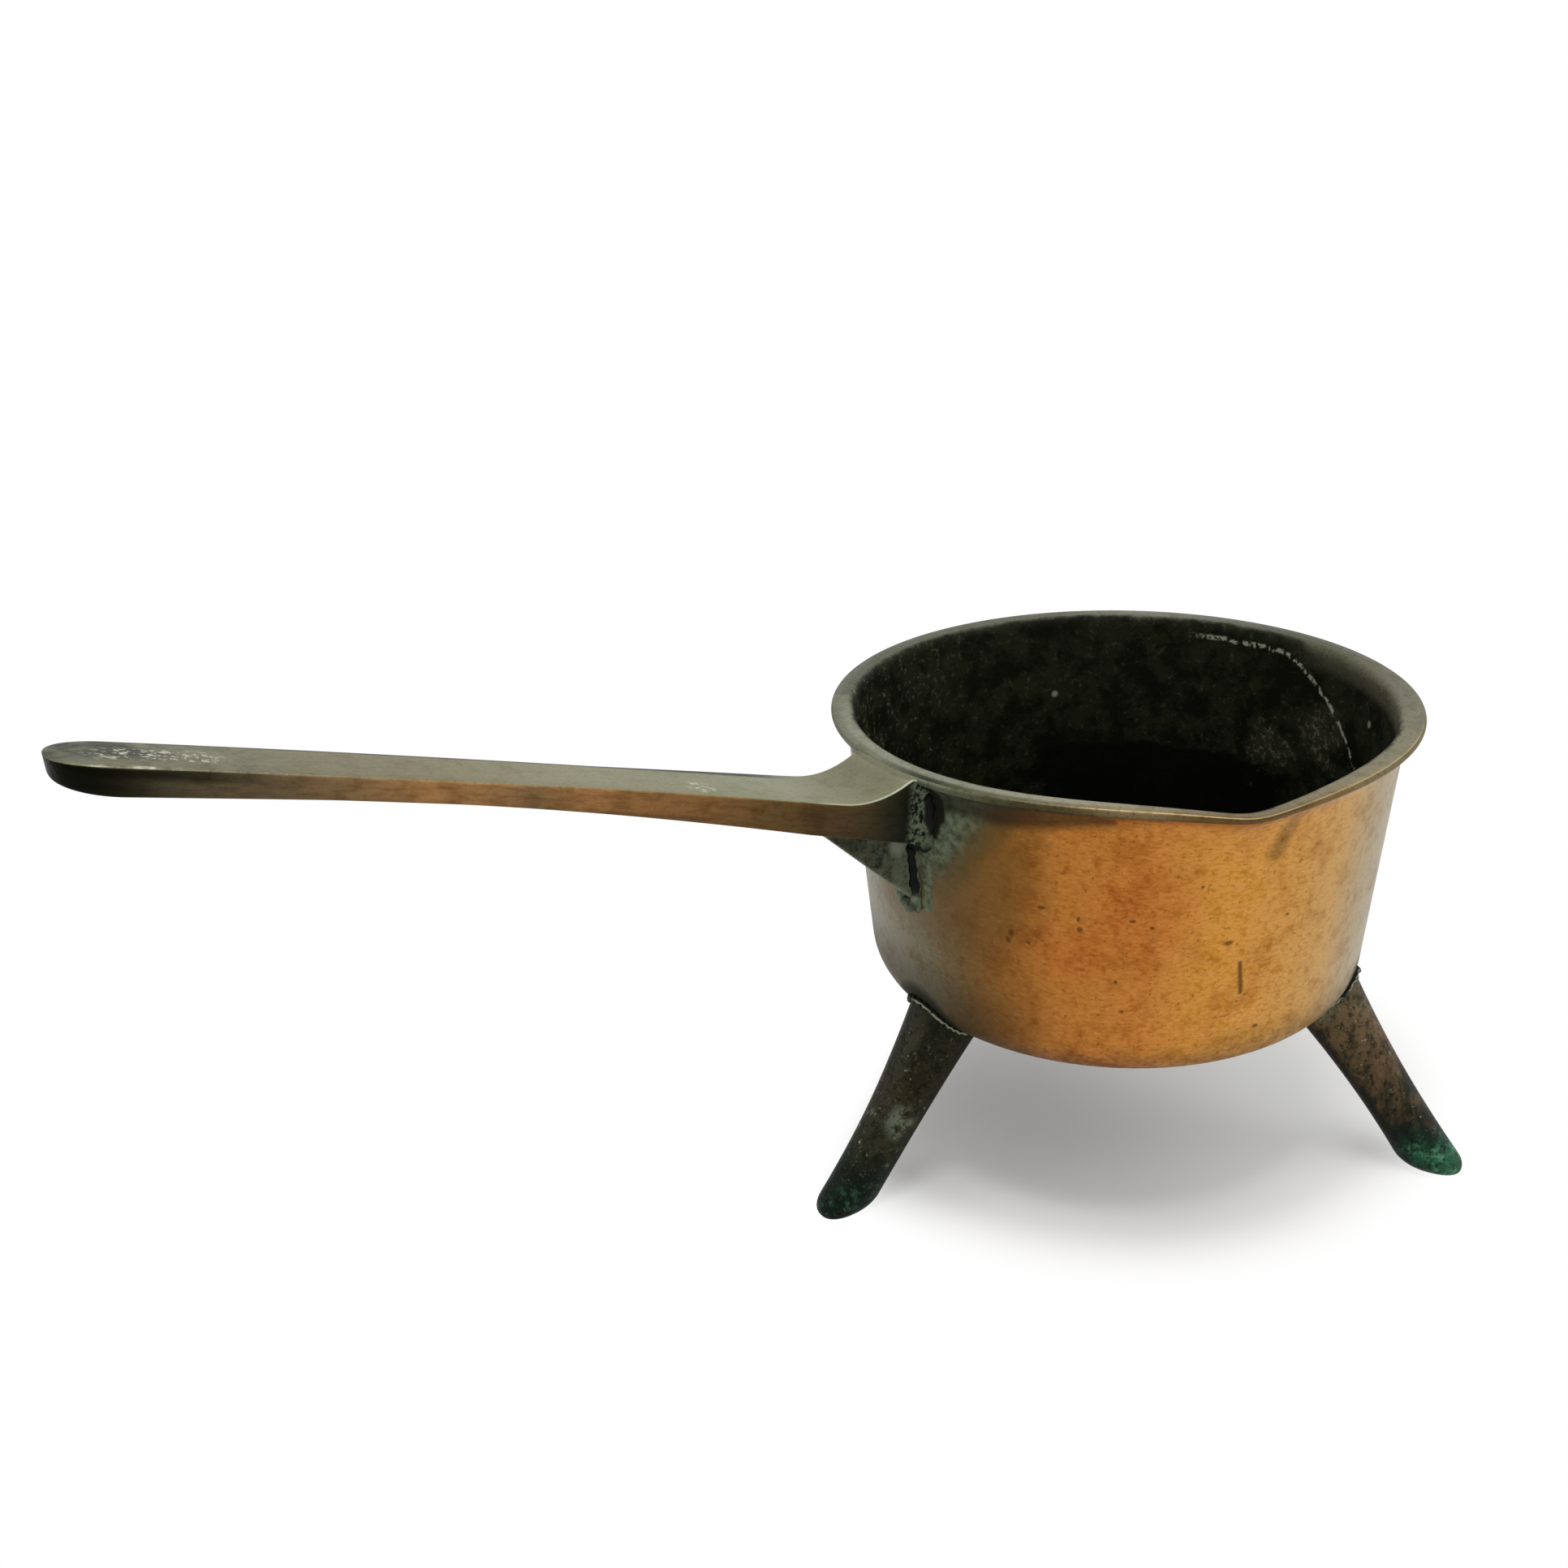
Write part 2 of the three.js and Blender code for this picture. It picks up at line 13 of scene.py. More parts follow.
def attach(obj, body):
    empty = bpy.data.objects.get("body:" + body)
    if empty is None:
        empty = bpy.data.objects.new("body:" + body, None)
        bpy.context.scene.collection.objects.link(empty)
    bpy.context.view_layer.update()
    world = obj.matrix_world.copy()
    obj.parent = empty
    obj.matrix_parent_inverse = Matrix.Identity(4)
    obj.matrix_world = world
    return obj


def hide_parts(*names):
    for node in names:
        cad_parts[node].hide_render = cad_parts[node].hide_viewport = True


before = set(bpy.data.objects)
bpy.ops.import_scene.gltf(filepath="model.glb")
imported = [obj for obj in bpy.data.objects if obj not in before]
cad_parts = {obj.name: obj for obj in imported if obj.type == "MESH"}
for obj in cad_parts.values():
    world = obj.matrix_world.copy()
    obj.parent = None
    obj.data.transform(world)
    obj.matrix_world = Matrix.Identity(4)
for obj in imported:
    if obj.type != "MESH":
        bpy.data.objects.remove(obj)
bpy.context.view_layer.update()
MM = 0.001
random.seed(7)

# Pan: outside sizes, measured from its own upright axis
RIM_HEIGHT = 137 * MM
RIM_RADIUS = 84 * MM
PAN_DEPTH = 86.4 * MM
WALL = 2.5 * MM
NECK_RADIUS = 79.1 * MM
LIP_DEPTH = 9 * MM
LIP_EDGE = 2.2 * MM
LIP_ROUND = 0.9 * MM
LIP_UNDERCUT = 1.2 * MM
FLANGE_WIDTH = 4.1 * MM
SHOULDER_DROP = 4.5 * MM
SHOULDER_IN = 0.2 * MM
BASE_RADIUS = 72.7 * MM
BASE_CORNER = 13 * MM
BASE_HEIGHT = RIM_HEIGHT - PAN_DEPTH
BASE_STEPS = 10
CORNER_STEPS = 12
WALL_STEPS = 24

# Pouring spout
SPOUT_AZIMUTH = math.radians(248)
SPOUT_REACH = 12.1 * MM
SPOUT_STEEP_ANGLE = 11.7
SPOUT_GENTLE_ANGLE = 20.6
SPOUT_POINT = 3.4
DRAW_IN = 4.9 * MM
DRAW_IN_ANGLE = 40
SPOUT_DEPTH = 20 * MM
SPOUT_THINNING = 1.8 * MM
SPOUT_THINNED_ANGLE = 22
# How much closer the columns of the pan's mesh stand at the spout
SPOUT_CROWDING = 0.45
PAN_COLUMNS = 360

# Filed-down casting gate under the base
GATE_LENGTH = 38 * MM
GATE_WIDTH = 5 * MM
GATE_HEIGHT = 0.8 * MM
GATE_AZIMUTH = math.radians(25)
GATE_POINTS = 32
# Rings of the gate's mesh: how far in from its outline, and how far below the base
GATE_RINGS = ((0, -0.5 * MM), (0, GATE_HEIGHT / 2), (0.5 * MM, GATE_HEIGHT), (1.6 * MM, GATE_HEIGHT))

# Handle: distances are from the pan's axis
HANDLE_REACH = 281.6 * MM
HANDLE_RISE = 0.322
LEVEL_WITH_RIM = 109.7 * MM
HANDLE_BOW = 0.6 * MM
TIP_THICKNESS = 6.9 * MM
MIDDLE_THICKNESS = 5.8 * MM
NECK_THICKNESS = 10 * MM
THIN_FROM = 205 * MM
THICKENING_CURVE = 1.5
HALF_WIDTH = 9.4 * MM
GRIP_HALF_WIDTH = 8.9 * MM
GRIP_FROM = 230 * MM
TIP_LENGTH = 12 * MM
TIP_TOP_ROUND = 0.15
TIP_BOTTOM_ROUND = 0.35
TIP_BLUNTNESS = 0.75
BRACKET_FROM = 114 * MM
BRACKET_SLOPE = 0.37
FISHTAIL_FROM = 165 * MM
FISHTAIL_CURVE = 1.1
FISHTAIL_TOP = 3.9 * MM
FISHTAIL_BOTTOM = 1.2 * MM
DIP_FROM = 105 * MM
EDGE_BEVEL = 0.8 * MM
HANDLE_SINK = 1.2 * MM

# Stay
STAY_THICKNESS = 6.6 * MM
STAY_NOSE = 107 * MM
STAY_NOSE_HEIGHT = 1.2 * MM
STAY_TIP_DROP = 43.6 * MM
STAY_SINK = 1 * MM
STAY_BEVEL = 0.9 * MM

# Legs: middle of a leg from the pan's axis, and its half sizes square to its own length
LEGS = {
    "leg_under_handle": {"azimuth": math.pi, "toe_out": 3.2 * MM},
    "leg_spout_side": {"azimuth": math.radians(300), "toe_out": 0.3 * MM},
    "leg_far_side": {"azimuth": math.radians(60), "toe_out": 0.3 * MM},
}
LEG_HIGH = {"height": 61 * MM, "radius": 56.6 * MM, "half_depth": 12.5 * MM, "half_width": 11 * MM}
LEG_MIDDLE = {"radius": 78.1 * MM, "half_depth": 7.95 * MM, "half_width": 8.4 * MM}
LEG_LOW = {"height": 4 * MM, "radius": 98.3 * MM, "half_depth": 7.55 * MM, "half_width": 7.2 * MM}
LEG_TOP = 69 * MM
TOE_BEND_TOP = 35 * MM
LEG_SQUARENESS = 2.3
TOE_ROUND = 3.8 * MM
LEG_SINK = 0.8 * MM
LEG_SEAT = Vector((66 * MM, 0, BASE_HEIGHT + 1 * MM))

# Braze beads
LEG_BEAD = 1.1 * MM
ROOT_BEAD = 1.9 * MM
STAY_BEAD = 1.2 * MM
BEAD_COLUMNS = 14
BEAD_WAVES = 6
BEAD_TAPER_STEPS = 6
BEAD_RIPPLE = 0.12
ROOT_BEAD_CORNER = 1.5 * MM

# The braze film between two pieces
FILM = 0.3 * MM

# How far the smooth tip and legs stay inside the faceted solids
INSIDE_FACETS = 0.05 * MM

PAN_AXIS_X = (HANDLE_REACH - RIM_RADIUS) / 2
PAN_AXIS = Vector((PAN_AXIS_X, 0, 0))


# Mesh making


def share(value, start, end):
    return min(1.0, max(0.0, (value - start) / (end - start)))


def add_object(name, data):
    made = bpy.data.objects.new(name, data)
    bpy.context.scene.collection.objects.link(made)
    return made


def add_mesh(name, points, faces):
    mesh = bpy.data.meshes.new(name)
    mesh.from_pydata(points, [], faces)
    mesh.update()
    for polygon in mesh.polygons:
        polygon.use_smooth = True
    return add_object(name, mesh)


def grid_mesh(name, rows, cap_ends=False):
    """A mesh over rings of points, each ring the same length and closed on itself."""
    count = len(rows[0])
    points = [point for row in rows for point in row]
    faces = []
    for k in range(len(rows) - 1):
        here, above = k * count, (k + 1) * count
        for side in range(count):
            beside = (side + 1) % count
            faces.append((here + side, here + beside, above + beside, above + side))
    if cap_ends:
        faces.append(tuple(range(count - 1, -1, -1)))
        last = (len(rows) - 1) * count
        faces.append(tuple(range(last, last + count)))
    return add_mesh(name, points, faces)


def dress(piece, node, slot_name, *materials):
    """Puts a piece in the place of a solid, with its materials."""
    for material in materials:
        piece.data.materials.append(material)
    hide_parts(node)
    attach(piece, "root")


def quadratic(start, bend, end, steps):
    points = []
    for k in range(steps + 1):
        t = k / steps
        points.append(start * (1 - t) ** 2 + bend * 2 * t * (1 - t) + end * t**2)
    return points


def straight(start, end, steps):
    return [start.lerp(end, k / steps) for k in range(steps + 1)]


def boundary(inside, outside, is_inside, halvings=30):
    """Where a test that holds at inside stops holding on the way to outside, by halving."""
    for _ in range(halvings):
        middle = (inside + outside) / 2
        if is_inside(middle):
            inside = middle
        else:
            outside = middle
    return middle


# Pan profile: points of radius and height

WALL_LEAN = math.atan((NECK_RADIUS - BASE_RADIUS) / (PAN_DEPTH - LIP_DEPTH))
CORNER_RADIUS_FROM_AXIS = BASE_RADIUS - BASE_CORNER * math.tan((math.pi / 2 - WALL_LEAN) / 2)
CORNER_HEIGHT = BASE_HEIGHT + BASE_CORNER


def body_profile(grow):
    """The outside below the lip, pushed out by grow: flat base, round corner, leaning wall."""
    radius = BASE_CORNER + grow
    corner = []
    for k in range(CORNER_STEPS + 1):
        turn = -math.pi / 2 + (math.pi / 2 - WALL_LEAN) * k / CORNER_STEPS
        across = CORNER_RADIUS_FROM_AXIS + radius * math.cos(turn)
        corner.append(Vector((across, CORNER_HEIGHT + radius * math.sin(turn))))
    top = corner[-1]
    neck_height = RIM_HEIGHT - LIP_DEPTH
    neck = Vector((top.x + (neck_height - top.y) * math.tan(WALL_LEAN), neck_height))
    base = straight(Vector((0, BASE_HEIGHT - grow)), corner[0], BASE_STEPS)
    return base[:-1] + corner[:-1] + straight(top, neck, WALL_STEPS)


def lip_underside():
    neck = body_profile(0)[-1]
    edge = Vector((RIM_RADIUS - LIP_ROUND, RIM_HEIGHT - LIP_EDGE))
    bend = Vector((neck.x + LIP_UNDERCUT / 2, edge.y - LIP_UNDERCUT))
    return quadratic(neck, bend, edge, 10)[1:]


def lip_edge():
    """The rounded outer edge, from the underside of the lip up to its top."""
    points = []
    for k in range(1, 9):
        turn = -math.pi / 2 + math.pi * k / 9
        across = RIM_RADIUS - LIP_ROUND + LIP_ROUND * math.cos(turn)
        lift = LIP_EDGE / 2 * (1 + math.sin(turn))
        points.append(Vector((across, RIM_HEIGHT - LIP_EDGE + lift)))
    return points


def lip_inside():
    """A flat flange with a rounded shoulder, from the edge inwards."""
    neck = body_profile(-WALL)[-1]
    edge = Vector((RIM_RADIUS - LIP_ROUND, RIM_HEIGHT))
    flat = Vector((edge.x - FLANGE_WIDTH, RIM_HEIGHT))
    bend = Vector((neck.x + SHOULDER_IN, RIM_HEIGHT))
    end = Vector((bend.x, RIM_HEIGHT - SHOULDER_DROP))
    return straight(edge, flat, 6)[:-1] + quadratic(flat, bend, end, 10)


def spout_offset(angle):
    """How far the rim stands out of its circle at an angle in degrees from the spout's middle."""
    rounded = math.hypot(angle, SPOUT_POINT) - SPOUT_POINT
    flank = SPOUT_STEEP_ANGLE if angle < 0 else SPOUT_GENTLE_ANGLE
    drawn_out = SPOUT_REACH * math.exp(-rounded / flank)
    drawn_in = DRAW_IN * math.exp(-((angle / DRAW_IN_ANGLE) ** 2))
    return drawn_out - drawn_in


def spout_thinning(angle):
    """How much further out the flange's inner edge and the wall below it stand at the spout."""
    return SPOUT_THINNING * math.exp(-((angle / SPOUT_THINNED_ANGLE) ** 2))


def make_pan():
    """The turned pan with its spout. The attribute inward is the distance in from the rim's edge, in mm."""
    wall = body_profile(0) + lip_underside()
    outside = wall + lip_edge()
    profile = outside + lip_inside() + body_profile(-WALL)[::-1]
    lip_corner = RIM_RADIUS - LIP_ROUND
    rows = []
    for number, point in enumerate(profile):
        inside = number >= len(outside)
        in_flange = share(point.x, lip_corner, lip_corner - FLANGE_WIDTH) if inside else 0
        row = []
        for column in range(PAN_COLUMNS):
            even = 2 * math.pi * column / PAN_COLUMNS
            crowded = even - SPOUT_CROWDING * math.sin(even)
            angle = math.degrees(math.atan2(math.sin(crowded), math.cos(crowded)))
            rise = max(0.0, (point.y - RIM_HEIGHT + SPOUT_DEPTH) / SPOUT_DEPTH)
            moved = spout_offset(angle) + spout_thinning(angle) * in_flange
            radius = point.x + moved * rise**2
            azimuth = SPOUT_AZIMUTH + crowded
            row.append((PAN_AXIS_X + radius * math.cos(azimuth), radius * math.sin(azimuth), point.y))
        rows.append(row)
    pan = grid_mesh("pan_casting", rows)
    inward = pan.data.attributes.new("inward", "FLOAT", "POINT")
    for index, entry in enumerate(inward.data):
        row = index // PAN_COLUMNS
        distance = (RIM_RADIUS - profile[row].x) / MM
        entry.value = -distance if row < len(outside) - 1 else distance
    for index, polygon in enumerate(pan.data.polygons):
        polygon.material_index = 1 if index // PAN_COLUMNS >= len(wall) - 1 else 0
    return pan


def make_gate_scar():
    """The filed stub of the casting gate: a low bar with round ends across the middle of the base."""
    half = GATE_LENGTH / 2 - GATE_WIDTH / 2
    outline = []
    for k in range(GATE_POINTS):
        turn = 2 * math.pi * k / GATE_POINTS
        end = half if math.cos(turn) > 0 else -half
        outline.append(Vector((end + GATE_WIDTH / 2 * math.cos(turn), GATE_WIDTH / 2 * math.sin(turn))))
    rows = []
    for inset, depth in GATE_RINGS:
        row = []
        for point in outline:
            shrunk = point * (1 - inset / point.length)
            across = shrunk.x * math.cos(GATE_AZIMUTH) - shrunk.y * math.sin(GATE_AZIMUTH)
            along = shrunk.x * math.sin(GATE_AZIMUTH) + shrunk.y * math.cos(GATE_AZIMUTH)
            row.append((PAN_AXIS_X + across, along, BASE_HEIGHT - depth))
        rows.append(row)
    return grid_mesh("casting_gate_scar", rows, cap_ends=True)


def pan_radius(height):
    """Outer radius of the pan's wall, corner or lip at a height."""
    if height >= RIM_HEIGHT - LIP_EDGE:
        return RIM_RADIUS
    profile = body_profile(0)[BASE_STEPS:] + lip_underside()
    for low, high in zip(profile, profile[1:]):
        if low.y <= height <= high.y:
            return low.x + (high.x - low.x) * (height - low.y) / max(high.y - low.y, 1e-9)
    return 0.0


# Handle


def handle_top(reach):
    line = RIM_HEIGHT + HANDLE_RISE * (reach - LEVEL_WITH_RIM)
    lift = HANDLE_RISE * (LEVEL_WITH_RIM - RIM_RADIUS)
    along = share(reach, LEVEL_WITH_RIM, HANDLE_REACH)
    bow = 4 * HANDLE_BOW * along * (1 - along)
    return line + bow + lift * share(reach, DIP_FROM, RIM_RADIUS) ** 2


def handle_bottom(reach):
    start = max(reach, BRACKET_FROM)
    thickening = share(start, THIN_FROM, BRACKET_FROM) ** THICKENING_CURVE
    end = (TIP_THICKNESS - MIDDLE_THICKNESS) * share(start, GRIP_FROM, HANDLE_REACH)
    neck = (NECK_THICKNESS - MIDDLE_THICKNESS) * thickening
    thickness = MIDDLE_THICKNESS + end + neck
    return handle_top(start) - thickness - BRACKET_SLOPE * (start - reach)


def handle_half_width(reach, fishtail):
    grip = (GRIP_HALF_WIDTH - HALF_WIDTH) * share(reach, GRIP_FROM, HANDLE_REACH)
    return HALF_WIDTH + grip + fishtail * share(reach, FISHTAIL_FROM, RIM_RADIUS) ** FISHTAIL_CURVE


def rounded_side(wide, narrow, top, bottom, bevel):
    """Points of (across, height) down one side of the handle's section, with rounded edges."""
    points = [(0.0, top), (wide * 0.5, top)]
    for k in range(4):
        turn = math.pi / 2 * (1 - k / 3)
        points.append((wide - bevel + bevel * math.cos(turn), top - bevel + bevel * math.sin(turn)))
    for k in range(1, 5):
        step = k / 5
        across = wide + (narrow - wide) * step
        points.append((across, top - bevel + (bottom + bevel - top + bevel) * step))
    for k in range(4):
        turn = -math.pi / 2 * k / 3
        points.append((narrow - bevel + bevel * math.cos(turn), bottom + bevel + bevel * math.sin(turn)))
    points += [(narrow * 0.5, bottom), (0.0, bottom)]
    return points


def handle_section(reach, tip):
    round_share = math.sqrt(max(0.0, 1 - tip * tip))
    thickness = handle_top(reach) - handle_bottom(reach)
    top = handle_top(reach) - TIP_TOP_ROUND * thickness * (1 - round_share)
    bottom = handle_bottom(reach) + TIP_BOTTOM_ROUND * thickness * (1 - round_share)
    wide = handle_half_width(reach, FISHTAIL_TOP) * round_share**TIP_BLUNTNESS
    narrow = handle_half_width(reach, FISHTAIL_BOTTOM) * round_share**TIP_BLUNTNESS
    right = rounded_side(wide, narrow, top, bottom, EDGE_BEVEL * max(round_share, 0.05))
    left = [(-across, height) for across, height in right[-2:0:-1]]
    return right + left


def reach_into_pan(column):
    """How far from the axis one line along the handle ends, sunk a little into the pan's metal."""
    def is_inside(reach):
        across, height = handle_section(reach, 0)[column]
        return math.hypot(reach, across) < pan_radius(height) - HANDLE_SINK

    return boundary(RIM_RADIUS - 20 * MM, BRACKET_FROM, is_inside)


def make_handle():
    tip_steps, bar_steps, root_steps = 15, 60, 30
    straight_end = HANDLE_REACH - TIP_LENGTH
    columns = len(handle_section(straight_end, 0))
    rows = []
    for k in range(tip_steps):
        tip = math.sin(math.radians(88) * (1 - k / tip_steps))
        rows.append([(straight_end + (TIP_LENGTH - INSIDE_FACETS) * tip, tip)] * columns)
    for k in range(bar_steps):
        rows.append([(straight_end + (BRACKET_FROM - straight_end) * k / bar_steps, 0)] * columns)
    ends = [reach_into_pan(column) for column in range(columns)]
    for k in range(root_steps + 1):
        rows.append([(BRACKET_FROM + (end - BRACKET_FROM) * k / root_steps, 0) for end in ends])
    points = []
    for row in rows:
        line = []
        for column, (reach, tip) in enumerate(row):
            across, height = handle_section(reach, tip)[column]
            line.append((PAN_AXIS_X - reach, across, height))
        points.append(line)
    return grid_mesh("handle_bar", points, cap_ends=True)


# Stay


def make_stay():
    """The triangular plate, sunk a little into the wall and the underside of the handle."""
    tip_height = RIM_HEIGHT - STAY_TIP_DROP
    wall_top = handle_bottom(NECK_RADIUS)
    outline = [Vector((STAY_NOSE, handle_bottom(STAY_NOSE) - STAY_NOSE_HEIGHT))]
    for k in range(9):
        height = tip_height + (wall_top - tip_height) * k / 8
        outline.append(Vector((pan_radius(height) - STAY_SINK, height)))
    for k in range(9):
        reach = NECK_RADIUS + (STAY_NOSE - NECK_RADIUS) * k / 8
        outline.append(Vector((reach, handle_bottom(reach) + STAY_SINK)))
    count = len(outline)
    half = STAY_THICKNESS / 2
    points = [(PAN_AXIS_X - point.x, half, point.y) for point in outline]
    points += [(PAN_AXIS_X - point.x, -half, point.y) for point in outline]
    faces = [tuple(range(count)), tuple(range(2 * count - 1, count - 1, -1))]
    for k in range(count):
        following = (k + 1) % count
        faces.append((following, k, count + k, count + following))
    stay = add_mesh("stay_plate", points, faces)
    bevel = stay.modifiers.new("edges", "BEVEL")
    bevel.width = STAY_BEVEL
    bevel.segments = 4
    bevel.limit_method = "ANGLE"
    return stay


# Braze beads


def smooth_path(points, joined, steps):
    """A Catmull-Rom curve through the points, as a dense list."""
    count = len(points)
    path = []
    for k in range(count if joined else count - 1):
        picked = []
        for step in (-1, 0, 1, 2):
            index = (k + step) % count if joined else min(max(k + step, 0), count - 1)
            picked.append(points[index])
        before, start, end, after = picked
        for j in range(steps):
            t = j / steps
            path.append(
                0.5 * (2 * start + (end - before) * t
                       + (2 * before - 5 * start + 4 * end - after) * t**2
                       + (3 * start - before - 3 * end + after) * t**3)
            )
    if not joined:
        path.append(points[-1])
    return path


def make_bead(name, points, radius, joined, outward, steps):
    """A lumpy bead along a path. outward gives the direction that the bead stands out in at a point.

    The attribute across runs from -1 at one foot of the bead over its top to 1 at the other.
    """
    path = smooth_path(points, joined, steps)
    count = len(path)
    waves = [
        (random.uniform(0.05, 0.12), random.randint(5, 40), random.uniform(0, 6)) for _ in range(BEAD_WAVES)
    ]
    rows = []
    for k, centre in enumerate(path):
        ahead = path[(k + 1) % count] if joined or k < count - 1 else centre
        behind = path[k - 1] if joined or k > 0 else centre
        along = (ahead - behind).normalized()
        side = along.cross(outward(centre)).normalized()
        lift = side.cross(along).normalized()
        turned = 2 * math.pi * k / count
        lump = 1 + sum(size * math.sin(turns * turned + start) for size, turns, start in waves)
        from_end = min(k, count - 1 - k) + 0.15
        taper = 1.0 if joined else min(1.0, math.sqrt(from_end / BEAD_TAPER_STEPS))
        row = []
        for column in range(BEAD_COLUMNS):
            turn = 2 * math.pi * column / BEAD_COLUMNS
            arm = radius * lump * taper * (1 + BEAD_RIPPLE * math.sin(3 * turn + k * 0.9))
            row.append(centre + side * arm * math.cos(turn) + lift * arm * math.sin(turn))
        rows.append(row)
    if joined:
        rows.append(rows[0])
    bead = grid_mesh(name, rows, cap_ends=not joined)
    across = bead.data.attributes.new("across", "FLOAT", "POINT")
    for index, entry in enumerate(across.data):
        turn = 2 * math.pi * (index % BEAD_COLUMNS) / BEAD_COLUMNS
        entry.value = math.cos(turn) if math.sin(turn) > 0 else math.copysign(1, math.cos(turn))
    return bead


def from_axis(point):
    return Vector((point.x - PAN_AXIS_X, point.y, 0)).normalized()


def on_wall(across, height):
    radius = pan_radius(height)
    return Vector((PAN_AXIS_X - math.sqrt(radius * radius - across * across), across, height))


def make_root_bead():
    """Down one side of the handle's root, round the stay and up the other side."""
    foot = handle_bottom(NECK_RADIUS)
    bottom_half = handle_half_width(NECK_RADIUS, FISHTAIL_BOTTOM)
    top_half = handle_half_width(NECK_RADIUS, FISHTAIL_TOP)
    stay_half = STAY_THICKNESS / 2
    tip_height = RIM_HEIGHT - STAY_TIP_DROP
    corner = ROOT_BEAD_CORNER
    one_side = [
        (top_half - corner / 2, RIM_HEIGHT - LIP_EDGE - 2 * corner),
        ((top_half + bottom_half) / 2, (RIM_HEIGHT + foot) / 2),
        (bottom_half, foot + corner),
        (bottom_half - corner, foot - corner / 2),
        (stay_half + corner, foot - corner),
        (stay_half, foot - 3 * corner),
        (stay_half, (foot + tip_height) / 2),
        (stay_half, tip_height + corner),
        (stay_half / 2, tip_height - corner / 2),
    ]
    other_side = [(-across, height) for across, height in reversed(one_side)]
    points = [on_wall(across, height) for across, height in one_side + other_side]
    return make_bead("root_bead", points, ROOT_BEAD, False, from_axis, steps=10)


def make_stay_bead():
    """Round the stay's nose, along the underside of the handle."""
    half = STAY_THICKNESS / 2 + FILM
    wall_end = NECK_RADIUS + ROOT_BEAD
    nose = STAY_NOSE + FILM
    one_side = [
        (wall_end, half), ((wall_end + nose) / 2, half), (nose - 1.5 * MM, half), (nose, half - 1 * MM)
    ]
    other_side = [(reach, -across) for reach, across in reversed(one_side)]
    points = [
        Vector((PAN_AXIS_X - reach, across, handle_bottom(reach) - 0.2 * MM))
        for reach, across in one_side + other_side
    ]
    down = Vector((0.0, 0.0, -1.0))
    return make_bead("stay_bead", points, STAY_BEAD, False, lambda point: down, steps=10)


# Legs, worked out standing out along +X from the pan's axis


def along_leg(name, height):
    low = share(height, LEG_LOW["height"], LEG_HIGH["height"])
    run = (height - LEG_LOW["height"]) / (LEG_HIGH["height"] - LEG_LOW["height"])
    bow = LEG_MIDDLE[name] - (LEG_LOW[name] + LEG_HIGH[name]) / 2
    return LEG_LOW[name] + (LEG_HIGH[name] - LEG_LOW[name]) * run + 4 * bow * low * (1 - low)


LEG_LEAN = math.atan(
    (LEG_LOW["radius"] - LEG_HIGH["radius"]) / (LEG_HIGH["height"] - LEG_LOW["height"])
)


def leg_point(height, turn, inset, toe_out, shrunk=1.0):
    cosine, sine = shrunk * math.cos(turn), shrunk * math.sin(turn)
    power = 2 / LEG_SQUARENESS
    deep = along_leg("half_depth", height) / math.cos(LEG_LEAN) - inset
    wide = along_leg("half_width", height) - inset
    middle = along_leg("radius", height) + toe_out * (1 - share(height, 0, TOE_BEND_TOP)) ** 2
    return Vector((
        middle + deep * math.copysign(abs(cosine) ** power, cosine),
        wide * math.copysign(abs(sine) ** power, sine),
        height,
    ))


def seat_height(turn, shrunk=1.0):
    """Height at which one line up the leg's side, or up a thinner leg's side, runs into the pan."""
    def is_inside(height):
        point = leg_point(height, turn, 0, 0, shrunk)
        return height > BASE_HEIGHT and math.hypot(point.x, point.y) < pan_radius(height)

    return boundary(LEG_TOP, TOE_BEND_TOP, is_inside)


def leg_turn(azimuth):
    return Matrix.Translation(PAN_AXIS) @ Matrix.Rotation(azimuth, 4, "Z")


def make_leg(name, azimuth, toe_out):
    columns, toe_steps, shank_steps, top_steps = 64, 9, 48, 8
    place = leg_turn(azimuth)
    turns = [2 * math.pi * column / columns for column in range(columns)]
    seats = [seat_height(turn) + LEG_SINK for turn in turns]
    rows = []
    for k in range(toe_steps):
        bend = k / toe_steps * math.pi / 2
        height = TOE_ROUND * (1 - math.cos(bend))
        inset = TOE_ROUND * (1 - math.sin(bend)) + INSIDE_FACETS
        rows.append([place @ leg_point(height, turn, inset, toe_out) for turn in turns])
    for k in range(shank_steps + 1):
        heights = [TOE_ROUND + (seat - TOE_ROUND) * k / shank_steps for seat in seats]
        rows.append([
            place @ leg_point(height, turn, INSIDE_FACETS, toe_out) for turn, height in zip(turns, heights)
        ])
    for k in range(1, top_steps):
        shrunk = 1 - k / top_steps
        rows.append([
            place @ leg_point(seat_height(turn, shrunk) + LEG_SINK, turn, 0, 0, shrunk) for turn in turns
        ])
    return grid_mesh(name, rows, cap_ends=True)


def make_leg_bead(name, azimuth):
    place = leg_turn(azimuth)
    turns = [math.radians(degrees) for degrees in range(0, 360, 10)]
    points = [place @ leg_point(seat_height(turn), turn, -FILM, 0) for turn in turns]
    middle = place @ Vector((along_leg("radius", LEG_HIGH["height"]), 0, BASE_HEIGHT + BASE_CORNER / 2))

    def outward(point):
        return (point - middle).normalized()

    return make_bead(name, points, LEG_BEAD, True, outward, steps=7)


# Materials


def srgb(red, green, blue):
    """A colour written as it looks on screen, 0 to 255, as linear light."""
    def one(value):
        value /= 255
        return value / 12.92 if value <= 0.04045 else ((value + 0.055) / 1.055) ** 2.4
    return one(red), one(green), one(blue)


